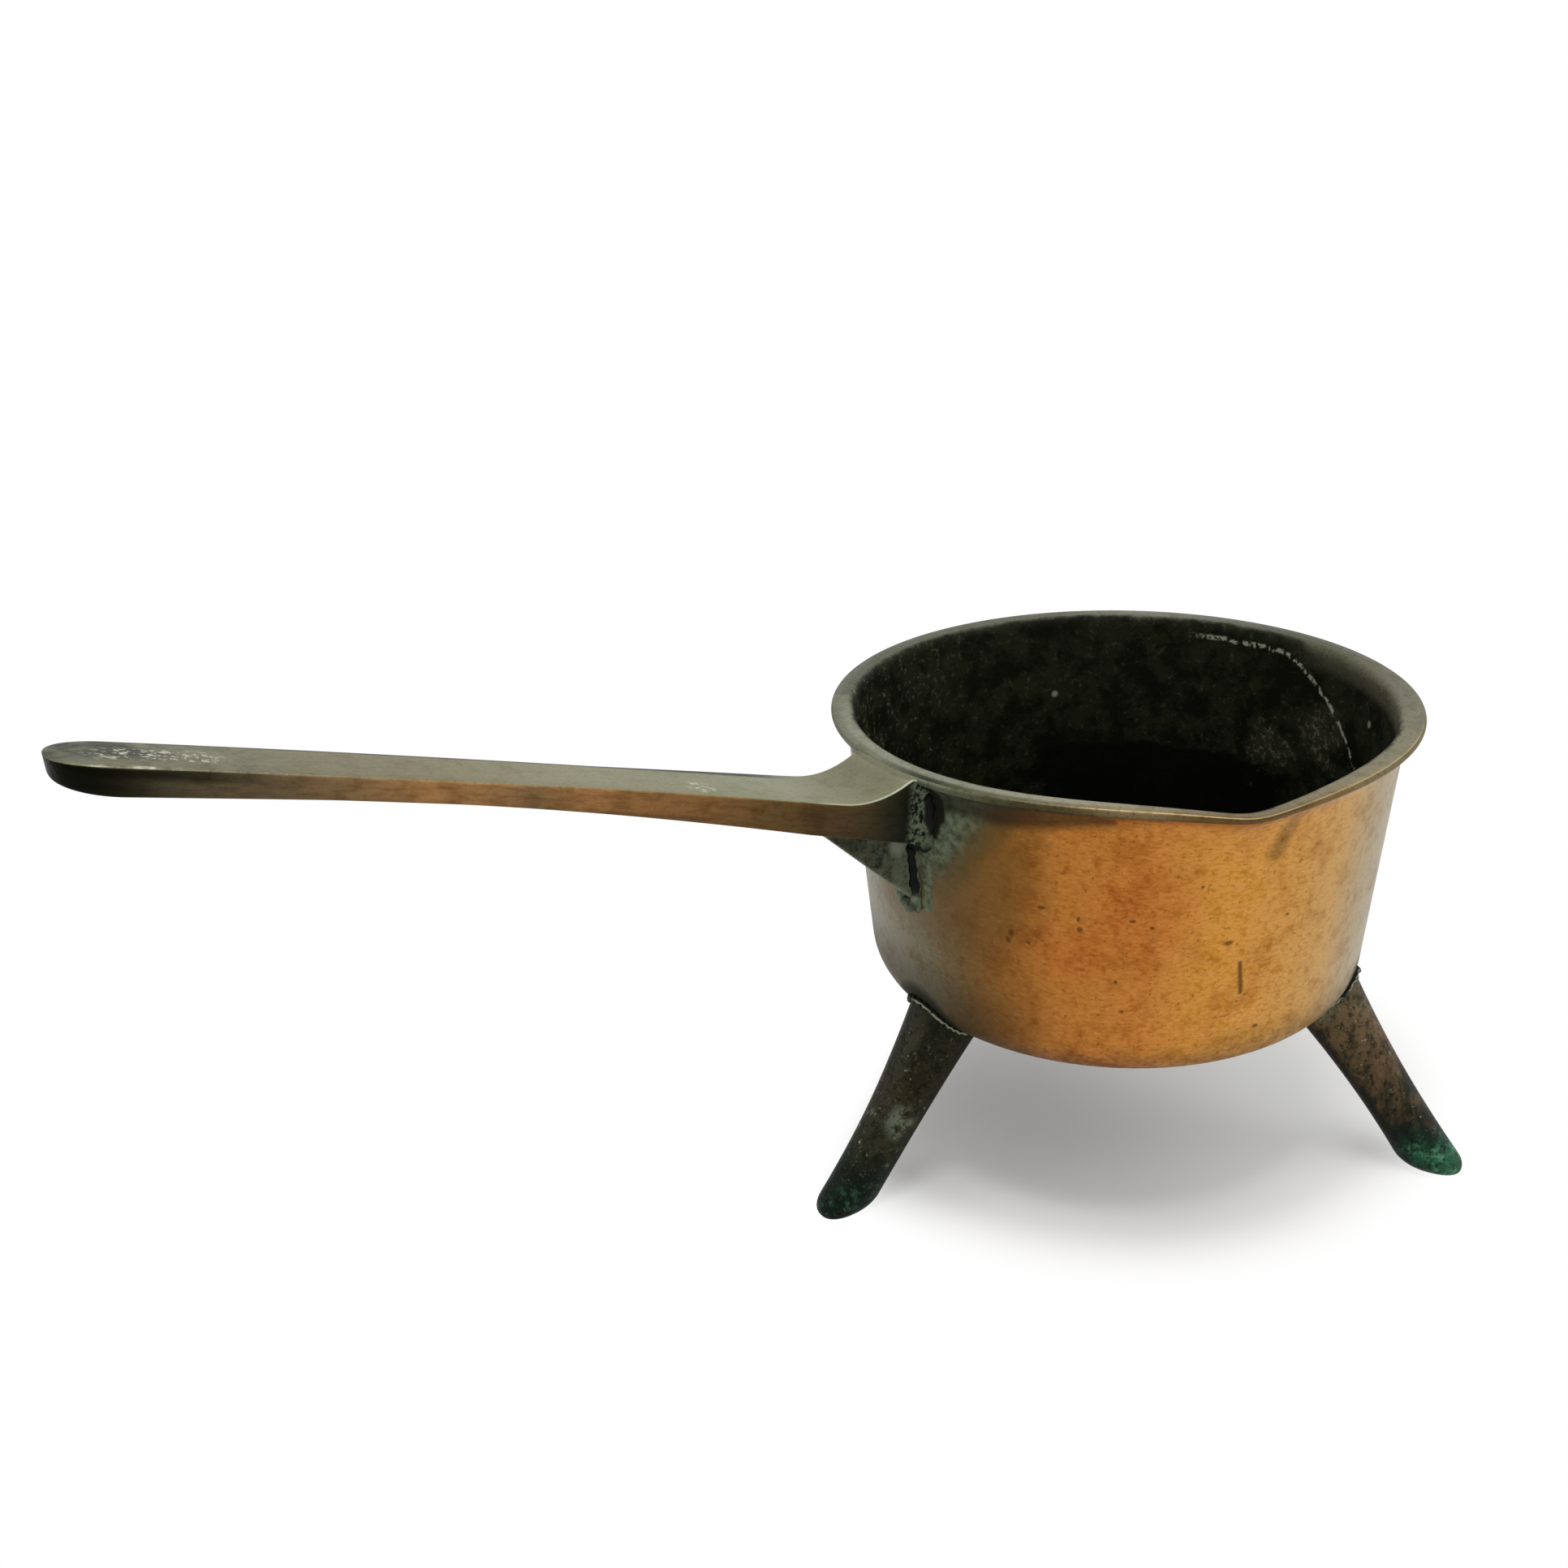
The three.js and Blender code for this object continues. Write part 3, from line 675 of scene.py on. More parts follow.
class Value:
    """A number, vector or colour on its way through a material's nodes."""

    def __init__(self, paint, socket):
        self.paint = paint
        self.socket = socket

    def __mul__(self, other):
        return self.paint.math("MULTIPLY", self, other)

    def __add__(self, other):
        return self.paint.math("ADD", self, other)

    def __sub__(self, other):
        return self.paint.math("SUBTRACT", self, other)

    def __rsub__(self, other):
        return self.paint.math("SUBTRACT", other, self)

    def __abs__(self):
        return self.paint.math("ABSOLUTE", self)

    __rmul__ = __mul__
    __radd__ = __add__

    def between(self, low, high):
        """0 at low, 1 at high, smooth in between. low may be the larger one."""
        made = self.paint.node("ShaderNodeMapRange", interpolation_type="SMOOTHSTEP")
        self.paint.put(made.inputs["Value"], self)
        ends = (low, high, 0, 1) if low < high else (high, low, 1, 0)
        for name, end in zip(("From Min", "From Max", "To Min", "To Max"), ends):
            made.inputs[name].default_value = end
        return Value(self.paint, made.outputs["Result"])

    def within(self, start, full, fading, end):
        """0 up to start, 1 from full to fading, and 0 again from end."""
        return self.between(start, full) * self.between(end, fading)

    def near(self, middle, inner, outer):
        """1 within inner of the middle, falling to 0 at outer."""
        return abs(self - middle).between(outer, inner)

    def mixed(self, factor, other):
        return self.paint.mix(factor, self, other)

    def darkened(self, factor, other):
        return self.paint.mix(factor, self, other, "MULTIPLY")

    def along(self, direction):
        """How far a vector points along a direction."""
        made = self.paint.node("ShaderNodeVectorMath", operation="DOT_PRODUCT")
        self.paint.put(made.inputs[0], self)
        made.inputs[1].default_value = direction
        return Value(self.paint, made.outputs["Value"])

    def parts(self):
        made = self.paint.node("ShaderNodeSeparateXYZ")
        self.paint.put(made.inputs[0], self)
        return [Value(self.paint, socket) for socket in made.outputs]


class Paint:
    """Builds one procedural material, which counts lengths in millimetres.

    Points are in metres. A colour is a Value, or red, green and blue, 0 to 255.
    """

    def __init__(self, name):
        self.material = bpy.data.materials.new(name)
        self.material.use_nodes = True
        self.tree = self.material.node_tree
        self.tree.nodes.clear()
        scaled = self.node("ShaderNodeVectorMath", operation="SCALE")
        scaled.inputs["Scale"].default_value = 1 / MM
        self.tree.links.new(self.node("ShaderNodeTexCoord").outputs["Object"], scaled.inputs[0])
        self.place = Value(self, scaled.outputs["Vector"])
        self.normal = Value(self, self.node("ShaderNodeNewGeometry").outputs["Normal"])

    def node(self, kind, **settings):
        made = self.tree.nodes.new(kind)
        for key, value in settings.items():
            setattr(made, key, value)
        return made

    def put(self, socket, value):
        if isinstance(value, Value):
            self.tree.links.new(value.socket, socket)
        elif socket.type == "RGBA":
            socket.default_value = (*srgb(*value), 1)
        else:
            socket.default_value = value

    def math(self, operation, first, second=0.0):
        made = self.node("ShaderNodeMath", operation=operation)
        self.put(made.inputs[0], first)
        self.put(made.inputs[1], second)
        return Value(self, made.outputs[0])

    def larger(self, first, *others):
        for other in others:
            first = self.math("MAXIMUM", first, other)
        return first

    def vector(self, x, y, z):
        made = self.node("ShaderNodeCombineXYZ")
        for socket, value in zip(made.inputs, (x, y, z)):
            self.put(socket, value)
        return Value(self, made.outputs[0])

    def attribute(self, name):
        return Value(self, self.node("ShaderNodeAttribute", attribute_name=name).outputs["Fac"])

    def noise(self, size, detail=3.0, roughness=0.55, at=None):
        """Noise of a feature size, about 0.25 to 0.75 with 0.5 in the middle."""
        made = self.node("ShaderNodeTexNoise")
        self.put(made.inputs["Vector"], at or self.place)
        made.inputs["Scale"].default_value = 1 / size
        made.inputs["Detail"].default_value = detail
        made.inputs["Roughness"].default_value = roughness
        return Value(self, made.outputs["Fac"])

    def distance(self, point, at=None):
        made = self.node("ShaderNodeVectorMath", operation="DISTANCE")
        self.put(made.inputs[0], at or self.place)
        made.inputs[1].default_value = Vector(point) / MM
        return Value(self, made.outputs["Value"])

    def near(self, point, inner, outer, at=None):
        """1 within inner of a point, falling to 0 at outer."""
        return self.distance(point, at).between(outer, inner)

    def line(self, start, end, inner, outer, steps=5):
        """1 within inner of a straight line between two points, falling to 0 at outer."""
        points = straight(Vector(start), Vector(end), steps)
        return self.larger(*[self.near(point, inner, outer) for point in points])

    def mix(self, factor, first, second, kind="MIX"):
        made = self.node("ShaderNodeMix", data_type="RGBA", blend_type=kind)
        self.put(made.inputs["Factor"], factor)
        self.put(made.inputs[6], first)
        self.put(made.inputs[7], second)
        return Value(self, made.outputs[2])

    def ramp(self, value, stops):
        """Colours by value: each stop is a place with red, green and blue."""
        first, last = stops[0][0], stops[-1][0]
        spread = self.node("ShaderNodeMapRange")
        self.put(spread.inputs["Value"], value)
        spread.inputs["From Min"].default_value = first
        spread.inputs["From Max"].default_value = last
        made = self.node("ShaderNodeValToRGB")
        self.tree.links.new(spread.outputs["Result"], made.inputs["Fac"])
        elements = made.color_ramp.elements
        while len(elements) < len(stops):
            elements.new(0.5)
        for element, (place, *colour) in zip(elements, stops):
            element.position = (place - first) / (last - first)
            element.color = (*srgb(*colour), 1)
        return Value(self, made.outputs["Color"])

    def ramp_round(self, azimuth, stops):
        """Colours by azimuth in degrees, counted on past 360 from the first stop."""
        passed = self.math("GREATER_THAN", stops[0][0], azimuth)
        return self.ramp(azimuth + passed * 360, stops)

    def around_pan(self):
        """Azimuth round the pan's axis, 0 to 360 degrees, handle at 180, and depth below the rim."""
        x, y, z = self.place.parts()
        turn = self.math("ARCTAN2", y * -1, (x - PAN_AXIS_X / MM) * -1)
        return self.math("DEGREES", turn) + 180, RIM_HEIGHT / MM - z

    def from_back(self, azimuth):
        """Azimuth counted from the side opposite the handle, -180 to 180 degrees."""
        return azimuth - self.math("GREATER_THAN", azimuth, 180) * 360

    def done(self, colour, roughness, metallic, height, depth, specular):
        """The finished material. The bumps are height times depth."""
        shader = self.node("ShaderNodeBsdfPrincipled")
        self.put(shader.inputs["Base Color"], colour)
        self.put(shader.inputs["Roughness"], roughness)
        self.put(shader.inputs["Metallic"], metallic)
        shader.inputs["Specular IOR Level"].default_value = specular
        bump = self.node("ShaderNodeBump")
        bump.inputs["Strength"].default_value = 1
        bump.inputs["Distance"].default_value = depth * MM
        self.put(bump.inputs["Height"], height)
        self.tree.links.new(bump.outputs["Normal"], shader.inputs["Normal"])
        out = self.node("ShaderNodeOutputMaterial")
        self.tree.links.new(shader.outputs[0], out.inputs["Surface"])
        return self.material


def on_pan(azimuth, depth, grow=0.0):
    """A point of the pan's outer wall at an azimuth in degrees and a depth in millimetres."""
    height = RIM_HEIGHT - depth * MM
    radius = pan_radius(height) + grow
    turn = math.radians(azimuth)
    return PAN_AXIS_X + radius * math.cos(turn), radius * math.sin(turn), height


def on_inside(azimuth, depth):
    return on_pan(azimuth, depth, -WALL)


def by_handle(reach, across, height):
    """A point by its distance from the pan's axis, across the handle and up, in millimetres."""
    return PAN_AXIS_X - reach * MM, across * MM, height * MM


DARKENING_AND_SHADE = (24, 23, 12)
VERDIGRIS = (112, 126, 103)
DARK_VERDIGRIS = (58, 66, 46)

# Colour of the pan's wall: its patina, with painted shade from about 184 to 208 degrees and a paler, greyer
# painted reflection round 160 and from 284 to 300 degrees. Azimuth in degrees, then red, green and blue
WALL_COLOURS_AND_LIGHT = (
    (60, 122, 108, 76),
    (120, 128, 122, 100),
    (160, 130, 126, 106),
    (184, 104, 98, 76),
    (194, 106, 84, 50),
    (206, 142, 94, 42),
    (216, 178, 117, 52),
    (232, 190, 124, 56),
    (248, 206, 145, 68),
    (262, 202, 149, 76),
    (274, 198, 156, 92),
    (284, 176, 154, 116),
    (300, 168, 160, 136),
    (380, 128, 112, 80),
    (420, 122, 108, 76),
)

# The verdigris by the root reaches further round just under the rim than below it, in degrees a mm
PATCH_SLANT = 0.53

# Pits in the wall: azimuth in degrees, depth below the rim, half width and half height in millimetres
WALL_PITS = (
    (249.3, 42.1, 1.5, 0.9),
    (206.6, 41.5, 0.9, 1.6),
    (205.9, 43.8, 0.8, 1.1),
    (212.9, 31.8, 1.3, 0.6),
    (220.4, 37.0, 0.9, 1.0),
    (220.1, 33.9, 0.5, 0.9),
    (210.2, 43.5, 0.6, 0.5),
    (230.3, 33.6, 1.0, 0.6),
    (227.5, 52.6, 0.6, 0.6),
    (234.0, 35.6, 0.7, 0.6),
    (243.0, 24.0, 0.6, 0.5),
    (262.0, 37.0, 0.7, 0.5),
    (258.0, 71.0, 1.0, 0.7),
    (229.0, 62.0, 0.7, 0.5),
)

# Painted shade, black, in the gap where the far side of the root's braze lifts off the wall: both ends by
# azimuth in degrees and depth in millimetres, then its full and outer half width in millimetres
ROOT_CREVICE_SHADE = (
    ((189.6, 3), (191.2, 7), 1.0, 2.6),
    ((191.2, 7), (191.2, 12), 1.3, 3.0),
    ((191.0, 12), (189.4, 18), 0.8, 2.0),
)


def pan_darkening_and_shade(paint, azimuth, depth):
    """Painted shade under the lip and in the gap by the root's braze, and darker round the bottom corner,
    under the base and round the legs' seats.
    """
    cloud = paint.noise(6, 4, 0.7)
    # Painted shade under the lip, where it overhangs the wall
    lower = azimuth.between(232, 204) * 4
    under_lip_shade = (depth - lower).between(7.5, 3.5)
    under_lip_shade *= azimuth.within(130, 165, 226, 246) * 0.7
    under_lip_shade *= (cloud + azimuth.between(235, 195)).between(0.42, 0.75)
    corner = depth.between(70, 84) * cloud.between(0.3, 0.62)
    corner_left = azimuth.within(70, 130, 196, 222) * depth.between(56, 76)
    corner_right = azimuth.within(238, 252, 312, 345) * depth.between(66, 80)
    corner_right *= cloud.between(0.2, 0.6)
    corner = paint.larger(corner * 0.55, corner_left * 0.45, corner_right * 0.45)
    under = depth.between(84, 86.3)
    darkening_and_shade = paint.larger(under_lip_shade, corner, under * 0.8)
    for leg in LEGS.values():
        seat = leg_turn(leg["azimuth"]) @ LEG_SEAT
        darkening_and_shade = paint.larger(darkening_and_shade, paint.near(seat, 13, 19) * 0.95)
    # Painted shade, black, in the gap by the root's braze
    for start, end, inner, outer in ROOT_CREVICE_SHADE:
        darkening_and_shade = paint.larger(darkening_and_shade, paint.line(on_pan(*start), on_pan(*end), inner, outer))
    return darkening_and_shade


def brown_marks(paint):
    """Brown streaks and pits in the pan's outer wall."""
    brown = paint.line(on_pan(259.2, 7), on_pan(257.2, 17), 0.5, 4.5) * 0.5
    place_x, place_y, place_z = paint.place.parts()
    for place, down, wide, high in WALL_PITS:
        squeeze = wide / high
        x, y, z = on_pan(place, down)
        at = paint.vector(place_x, place_y, place_z * squeeze)
        pit = paint.near((x, y, z * squeeze), 0.4 * wide, 1.3 * wide, at=at)
        brown = paint.larger(brown, pit * 0.75)
    streak = paint.line(on_pan(252.4, 49), on_pan(253.3, 58.5), 0.2, 1.1, steps=14)
    return paint.larger(brown, streak * 0.8)


def pan_outside_material():
    paint = Paint("pan_outside")
    azimuth, depth = paint.around_pan()
    # Patina colour by azimuth, with its painted shade and painted reflection
    colour = paint.ramp_round(azimuth, WALL_COLOURS_AND_LIGHT)

    # Brushed grain, red and yellow areas, blotches and flecks
    turned = azimuth * (math.radians(1) * RIM_RADIUS / MM)
    grain = paint.noise(1.0, 3, 0.62, at=paint.vector(turned * 0.45, 0, depth))
    fine_grain = paint.noise(0.5, 2, 0.6, at=paint.vector(turned * 0.28, 300, depth))
    mottle = paint.noise(11, 4, 0.6)
    blotch = paint.noise(3.6, 4, 0.6)
    speckle = paint.noise(1.5, 4, 0.7)
    redder = paint.larger(
        paint.near(on_pan(231, 32), 5, 20), paint.near(on_pan(219, 46), 3, 14)
    )
    colour = colour.mixed(redder * 0.35, (184, 98, 42))
    yellow = azimuth.within(232, 246, 256, 268)
    yellow *= blotch.between(0.44, 0.6)
    colour = colour.mixed(yellow * 0.4, (204, 150, 52))
    colour = colour.darkened(mottle.between(0.48, 0.68) * 0.5, (208, 180, 134))
    colour = colour.darkened(blotch.between(0.5, 0.68) * 0.5, (212, 188, 148))
    bright = 0.4 + azimuth.between(198, 226) * 0.6
    bright *= 0.4 + azimuth.between(282, 262) * 0.6
    dark_grain = grain.between(0.48, 0.66) * 0.42 * bright
    light_grain = grain.between(0.46, 0.32) * 0.16 * bright
    colour = colour.darkened(dark_grain, (200, 172, 126))
    colour = colour.mixed(light_grain, (228, 178, 112))
    fine_lines = fine_grain.between(0.52, 0.68) * 0.3 * bright
    colour = colour.darkened(fine_lines, (190, 158, 110))
    flecks = speckle.between(0.6, 0.68) * 0.6 * bright
    colour = colour.darkened(flecks, (160, 122, 70))

    # Verdigris by the handle's root and down beside the stay
    ragged = (paint.noise(5, 4, 0.7) - 0.5) * 24
    crust = paint.noise(2.6, 4, 0.6).between(0.3, 0.68)
    patch = (paint.distance(on_pan(187, 12)) + ragged).between(32, 10)
    patch *= (depth + ragged).between(44, 28)
    slanted = azimuth + (depth + ragged * 0.5) * PATCH_SLANT
    patch *= slanted.between(211, 202)
    fringe = slanted.near(207, 2, 8) * depth.between(40, 26)
    beside_stay = paint.line(on_pan(187.2, 24), on_pan(185.6, 42), 0.8, 3.0, steps=10)
    patch = paint.larger(patch, beside_stay)
    brown_edge = (paint.distance(on_pan(188, 20)) + ragged).between(42, 24)
    colour = colour.mixed(brown_edge * 0.48, (98, 72, 34))
    patch_colour = paint.mix(crust, DARK_VERDIGRIS, VERDIGRIS)
    colour = colour.mixed(fringe * 0.5, (66, 60, 32))
    colour = colour.mixed(patch * 0.9, patch_colour)

    # Painted shade under the lip and by the root, and darker places round the bottom corner, base and legs
    darkening_and_shade = pan_darkening_and_shade(paint, azimuth, depth)
    brown = brown_marks(paint)
    colour = colour.mixed(brown, (76, 48, 14))
    colour = colour.mixed(darkening_and_shade, DARKENING_AND_SHADE)

    dull = paint.larger(darkening_and_shade * 0.9, patch * 0.95)
    metallic = 0.92 - dull * 0.8
    roughness = 0.36 + dull * 0.3 + speckle * 0.14
    height = grain * 0.35 + (speckle * 0.4 + blotch)
    height += patch * crust * 0.5
    height -= brown * 1.2
    return paint.done(colour, roughness, metallic, height, 0.14, specular=0.12)


# Colours along the flange between its outer and inner edge, by azimuth in degrees
RIM_OUTER = (
    (140, 112, 112, 94),
    (176, 112, 114, 96),
    (190, 34, 36, 22),
    (199, 80, 82, 62),
    (212, 102, 98, 74),
    (230, 136, 120, 92),
    (242, 110, 90, 60),
    (262, 120, 104, 76),
    (272, 134, 124, 96),
    (300, 118, 116, 96),
    (345, 104, 103, 88),
    (364, 94, 94, 82),
    (400, 122, 122, 110),
    (424, 98, 98, 86),
    (500, 104, 104, 92),
)
RIM_INNER = (
    (140, 114, 115, 97),
    (165, 134, 136, 118),
    (196, 126, 128, 110),
    (214, 142, 139, 119),
    (230, 138, 130, 108),
    (244, 114, 100, 76),
    (262, 124, 116, 91),
    (300, 120, 118, 96),
    (345, 90, 90, 73),
    (364, 80, 80, 66),
    (400, 112, 112, 98),
    (424, 92, 92, 78),
    (500, 90, 92, 78),
)
RIM_SIDE = (
    (140, 84, 82, 60),
    (186, 122, 126, 106),
    (194, 112, 116, 94),
    (201, 86, 88, 66),
    (209, 60, 57, 36),
    (219, 70, 58, 34),
    (230, 122, 106, 76),
    (240, 100, 78, 42),
    (256, 92, 68, 34),
    (264, 118, 94, 54),
    (280, 110, 98, 70),
    (500, 84, 82, 60),
)


# Tide line inside the pan, in millimetres: its depth at the back, and degrees from the back where it starts
# to bend. Past that its slope is per degree, and the slope grows by the curve with each degree.
TIDE_DEPTH = 5.2
TIDE_BEND = 3
TIDE_SLOPE = 0.58
TIDE_CURVE = 0.011


def tide_line(paint, azimuth, depth):
    """A dotted pale line left inside by a liquid: level at the back, then curving down to the right."""
    from_back = paint.from_back(azimuth)
    ends = from_back.within(-30, -26, 24, 30)
    past_bend = paint.larger(TIDE_BEND - from_back, 0.0)
    slope = TIDE_SLOPE + past_bend * TIDE_CURVE
    level = TIDE_DEPTH + past_bend * slope
    wobble = (paint.noise(4, 3) - 0.5) * 2.4
    off = depth - (level + wobble)
    dots = paint.noise(1.8, 3).between(0.44, 0.56)
    return off.near(0.0, 0.3, 1.1) * dots * ends


def sooty_and_shaded_inside(paint, azimuth, depth, mottle, cloud, speck):
    """The inside's colour: sooty, with a painted shadow low down at the back and deepest down all round,
    pale specks on the left, rubbed places at the back.
    """
    dark = paint.mix(mottle.between(0.4, 0.62), (11, 12, 3), (30, 32, 18))
    left_side = azimuth.within(80, 130, 175, 225)
    speck_share = 0.16 + left_side * 0.66
    specks = speck.between(0.54, 0.7) * speck_share
    specks *= mottle.between(0.36, 0.56)
    dark = dark.mixed(specks, (124, 128, 108))
    # Painted shadow low inside, with a ragged edge, at the back and near the bottom
    bottom_edge = (mottle - 0.5) * 14
    painted_shadow_low = (depth + bottom_edge).between(43, 46)
    edge_turn = paint.from_back(azimuth) + (cloud - 0.5) * 30.0
    at_back = edge_turn.within(-9, 3, 62, 71)
    painted_shadow_low *= paint.larger(at_back, depth.between(68, 80))
    dark = dark.mixed(painted_shadow_low * 0.92, (3, 4, 1))
    ragged = (cloud - 0.5) * 26
    rubbed = paint.larger(
        (paint.distance(on_inside(349, 27)) + ragged).between(13, 2),
        (paint.distance(on_inside(5, 38)) + ragged).between(12, 2),
    )
    dark = dark.mixed(rubbed * 0.5, (56, 56, 42))
    dark = dark.mixed(rubbed * speck.between(0.5, 0.64) * 0.5, (120, 122, 106))
    for place, below in ((330.7, 14.9), (62.3, 26.7)):
        spot = paint.near(on_inside(place, below), 0.5, 1.5)
        dark = dark.mixed(spot * 0.7, (150, 152, 134))
    return dark


def pan_lip_material():
    """The rim, rubbed pale, with a painted highlight along its outer edge at the front, running into the
    sooty inside with its painted shadow.
    """
    paint = Paint("pan_lip_and_inside")
    azimuth, depth = paint.around_pan()
    inward = paint.attribute("inward")
    mottle = paint.noise(6, 4, 0.6)
    fine = paint.noise(1.2, 4, 0.7)
    outer, inner, side = [paint.ramp_round(azimuth, stops) for stops in (RIM_OUTER, RIM_INNER, RIM_SIDE)]
    ragged_inward = inward + (fine - 0.5) * 1.6
    colour = outer.mixed(ragged_inward.between(1.8, 3.2), inner)
    edge_side = inward.between(0.5, -0.2)
    colour = colour.mixed(edge_side, side)
    # Painted highlight along the rim's outer edge at the front
    rim_edge_highlight = inward.near(0.5, 0.1, 0.6)
    front = azimuth.within(216, 226, 290, 312)
    colour = colour.mixed(rim_edge_highlight * front * 0.5, (190, 168, 124))
    colour = colour.darkened(mottle.between(0.48, 0.62) * 0.4, (206, 200, 176))
    colour = colour.darkened(fine.between(0.52, 0.64) * 0.5, (184, 176, 150))

    inside_mottle = paint.noise(9, 5, 0.65)
    cloud = paint.noise(7, 4, 0.65)
    speck = paint.noise(2.0, 5, 0.75)
    dark = sooty_and_shaded_inside(paint, azimuth, depth, inside_mottle, cloud, speck)
    right = azimuth.within(296, 322, 346, 364)
    creep = (cloud - 0.5) * 3 + right * 2.6
    sooted = (inward - creep).between(4.8, 6.6)
    deep_soot = depth.between(3, 8.5)
    sooted = paint.larger(sooted * (1.0 - right * 0.4), deep_soot)
    colour = colour.mixed(sooted, dark)
    tide = tide_line(paint, azimuth, depth)
    colour = colour.mixed(tide * 0.85, (164, 166, 146))
    metallic = (1.0 - sooted) * 0.8
    height = speck + fine + inside_mottle
    roughness = 0.45 + fine * 0.2
    return paint.done(colour, roughness, metallic, height, 0.15, specular=0.08)


# Colours along the handle's top and sides, by millimetres from the pan's axis
HANDLE_TOP_COLOURS = (
    (80, 104, 103, 80),
    (101, 121, 119, 96),
    (118, 135, 134, 109),
    (146, 130, 128, 102),
    (174, 132, 128, 103),
    (202, 124, 118, 90),
    (239, 114, 110, 86),
    (281, 108, 108, 88),
)
HANDLE_SIDE_COLOURS = (
    (80, 14, 20, 10),
    (86, 26, 30, 18),
    (92, 48, 46, 29),
    (99, 72, 60, 36),
    (114, 90, 69, 40),
    (127, 104, 80, 46),
    (141, 130, 95, 56),
    (163, 142, 103, 62),
    (176, 152, 111, 68),
    (186, 128, 101, 66),
    (199, 150, 112, 72),
    (211, 156, 116, 72),
    (222, 134, 105, 70),
    (242, 100, 85, 62),
    (259, 84, 76, 56),
    (272, 54, 52, 38),
    (281, 28, 30, 18),
)


def handle_top_colour(paint, reach, y, mottle, fine):
    """The handle's top: mottled and dented, with scrape marks towards the tip and a painted highlight on
    its near edge there, and painted shade on the far edge near the root.
    """
    top = paint.ramp(reach, HANDLE_TOP_COLOURS)
    top = top.darkened(mottle.between(0.48, 0.64) * 0.35, (206, 200, 168))
    top = top.darkened(fine.between(0.5, 0.66) * 0.4, (206, 200, 170))
    green = paint.near(by_handle(136, -5, 146), 3, 16) * 0.4
    top = top.mixed(green * mottle.between(0.4, 0.6), (104, 120, 80))
    # Painted shade along the far edge of the top near the root
    far_edge_shade = y.between(7.2, 8.8)
    along = reach.between(104, 122)
    top = top.mixed(far_edge_shade * along * 0.95, (24, 26, 14))
    scraped_and_highlight = reach.within(246, 254, 268, 277)
    scraped_and_highlight *= paint.noise(1.7, 4, 0.7).between(0.51, 0.58)
    dents = paint.noise(3.4, 4, 0.7).between(0.5, 0.62) * reach.between(226, 250)
    top = top.mixed(dents * 0.5, (72, 74, 56))
    scraped_and_highlight *= y.within(-5, -2, 2, 5)
    tip_shade = reach.between(254, 266) * y.between(-7, 1)
    tip_shade *= mottle.between(0.3, 0.56)
    top = top.mixed(tip_shade, (48, 52, 36))
    chips = paint.near(by_handle(142, -4, 147), 1, 6)
    chips *= paint.noise(2.2, 3, 0.7).between(0.52, 0.58)
    scraped_and_highlight = paint.larger(scraped_and_highlight, chips)
    # Painted highlight along the near edge by the tip, mixed in with the scrape marks
    near_edge_highlight = y.near(-8.3, 0.2, 0.8)
    near_edge_highlight *= paint.noise(6, 3).between(0.46, 0.6)
    scraped_and_highlight = paint.larger(scraped_and_highlight, near_edge_highlight * reach.between(256, 266))
    top = top.mixed(scraped_and_highlight * 0.7, (206, 206, 186))
    return top


def handle_side_colour(paint, reach, level, streaks, mottle, fine):
    """The handle's sides: streaked, with a dark groove near the tip and verdigris at the root."""
    side = paint.ramp(reach, HANDLE_SIDE_COLOURS)
    side = side.darkened(streaks.between(0.42, 0.66) * 0.4, (176, 156, 130))
    side = side.darkened(mottle.between(0.48, 0.64) * 0.4, (180, 164, 140))
    side = side.darkened(fine.between(0.5, 0.7) * 0.25, (168, 150, 126))
    below_top = level - (RIM_HEIGHT - HANDLE_RISE * LEVEL_WITH_RIM) / MM
    shade = below_top.between(-4.4, -6.4) * reach.between(130, 150)
    side = side.mixed(shade * 0.5, (74, 58, 36))
    groove = below_top.between(-3.2, -1.4) * reach.between(238, 258)
    side = side.mixed(groove * 0.75, (16, 17, 8))
    crust = paint.noise(1.6, 4, 0.7).between(0.4, 0.58)
    root = reach.between(86, 82)
    side = side.mixed(root * crust, VERDIGRIS)
    return side


def handle_material():
    paint = Paint("handle_patina")
    x, y, z = paint.place.parts()
    reach = PAN_AXIS_X / MM - x
    _, sideways, upward = paint.normal.parts()
    level = z - reach * HANDLE_RISE
    streaks = paint.noise(1.2, 3, 0.6, at=paint.vector(reach * 0.2, y, level))
    mottle = paint.noise(8, 4, 0.6)
    fine = paint.noise(1.1, 4, 0.7)
    top = handle_top_colour(paint, reach, y, mottle, fine)
    side = handle_side_colour(paint, reach, level, streaks, mottle, fine)
    colour = side.mixed(upward.between(0.45, 0.85), top)
    # Painted highlight along the near top edge by the root
    root_edge_highlight = upward.near(0.72, 0.12, 0.24) * reach.between(118, 106)
    colour = colour.mixed(root_edge_highlight * 0.6, (178, 180, 158))
    tip_side = upward.between(0.5, 0.2) * reach.between(256, 276)
    colour = colour.mixed(tip_side * 0.9, (9, 10, 4))
    # Painted shade on the far bevel near the root
    far_bevel_shade = sideways.between(0.15, 0.5) * upward.between(0.1, 0.3)
    far_bevel_shade *= reach.between(104, 122)
    colour = colour.mixed(far_bevel_shade * 0.85, (24, 26, 14))
    dull = reach.between(122, 100)
    metallic = 0.8 - dull * 0.4
    height = streaks + fine + mottle * 1.2
    return paint.done(colour, 0.4 + fine * 0.2, metallic, height, 0.14, specular=0.1)


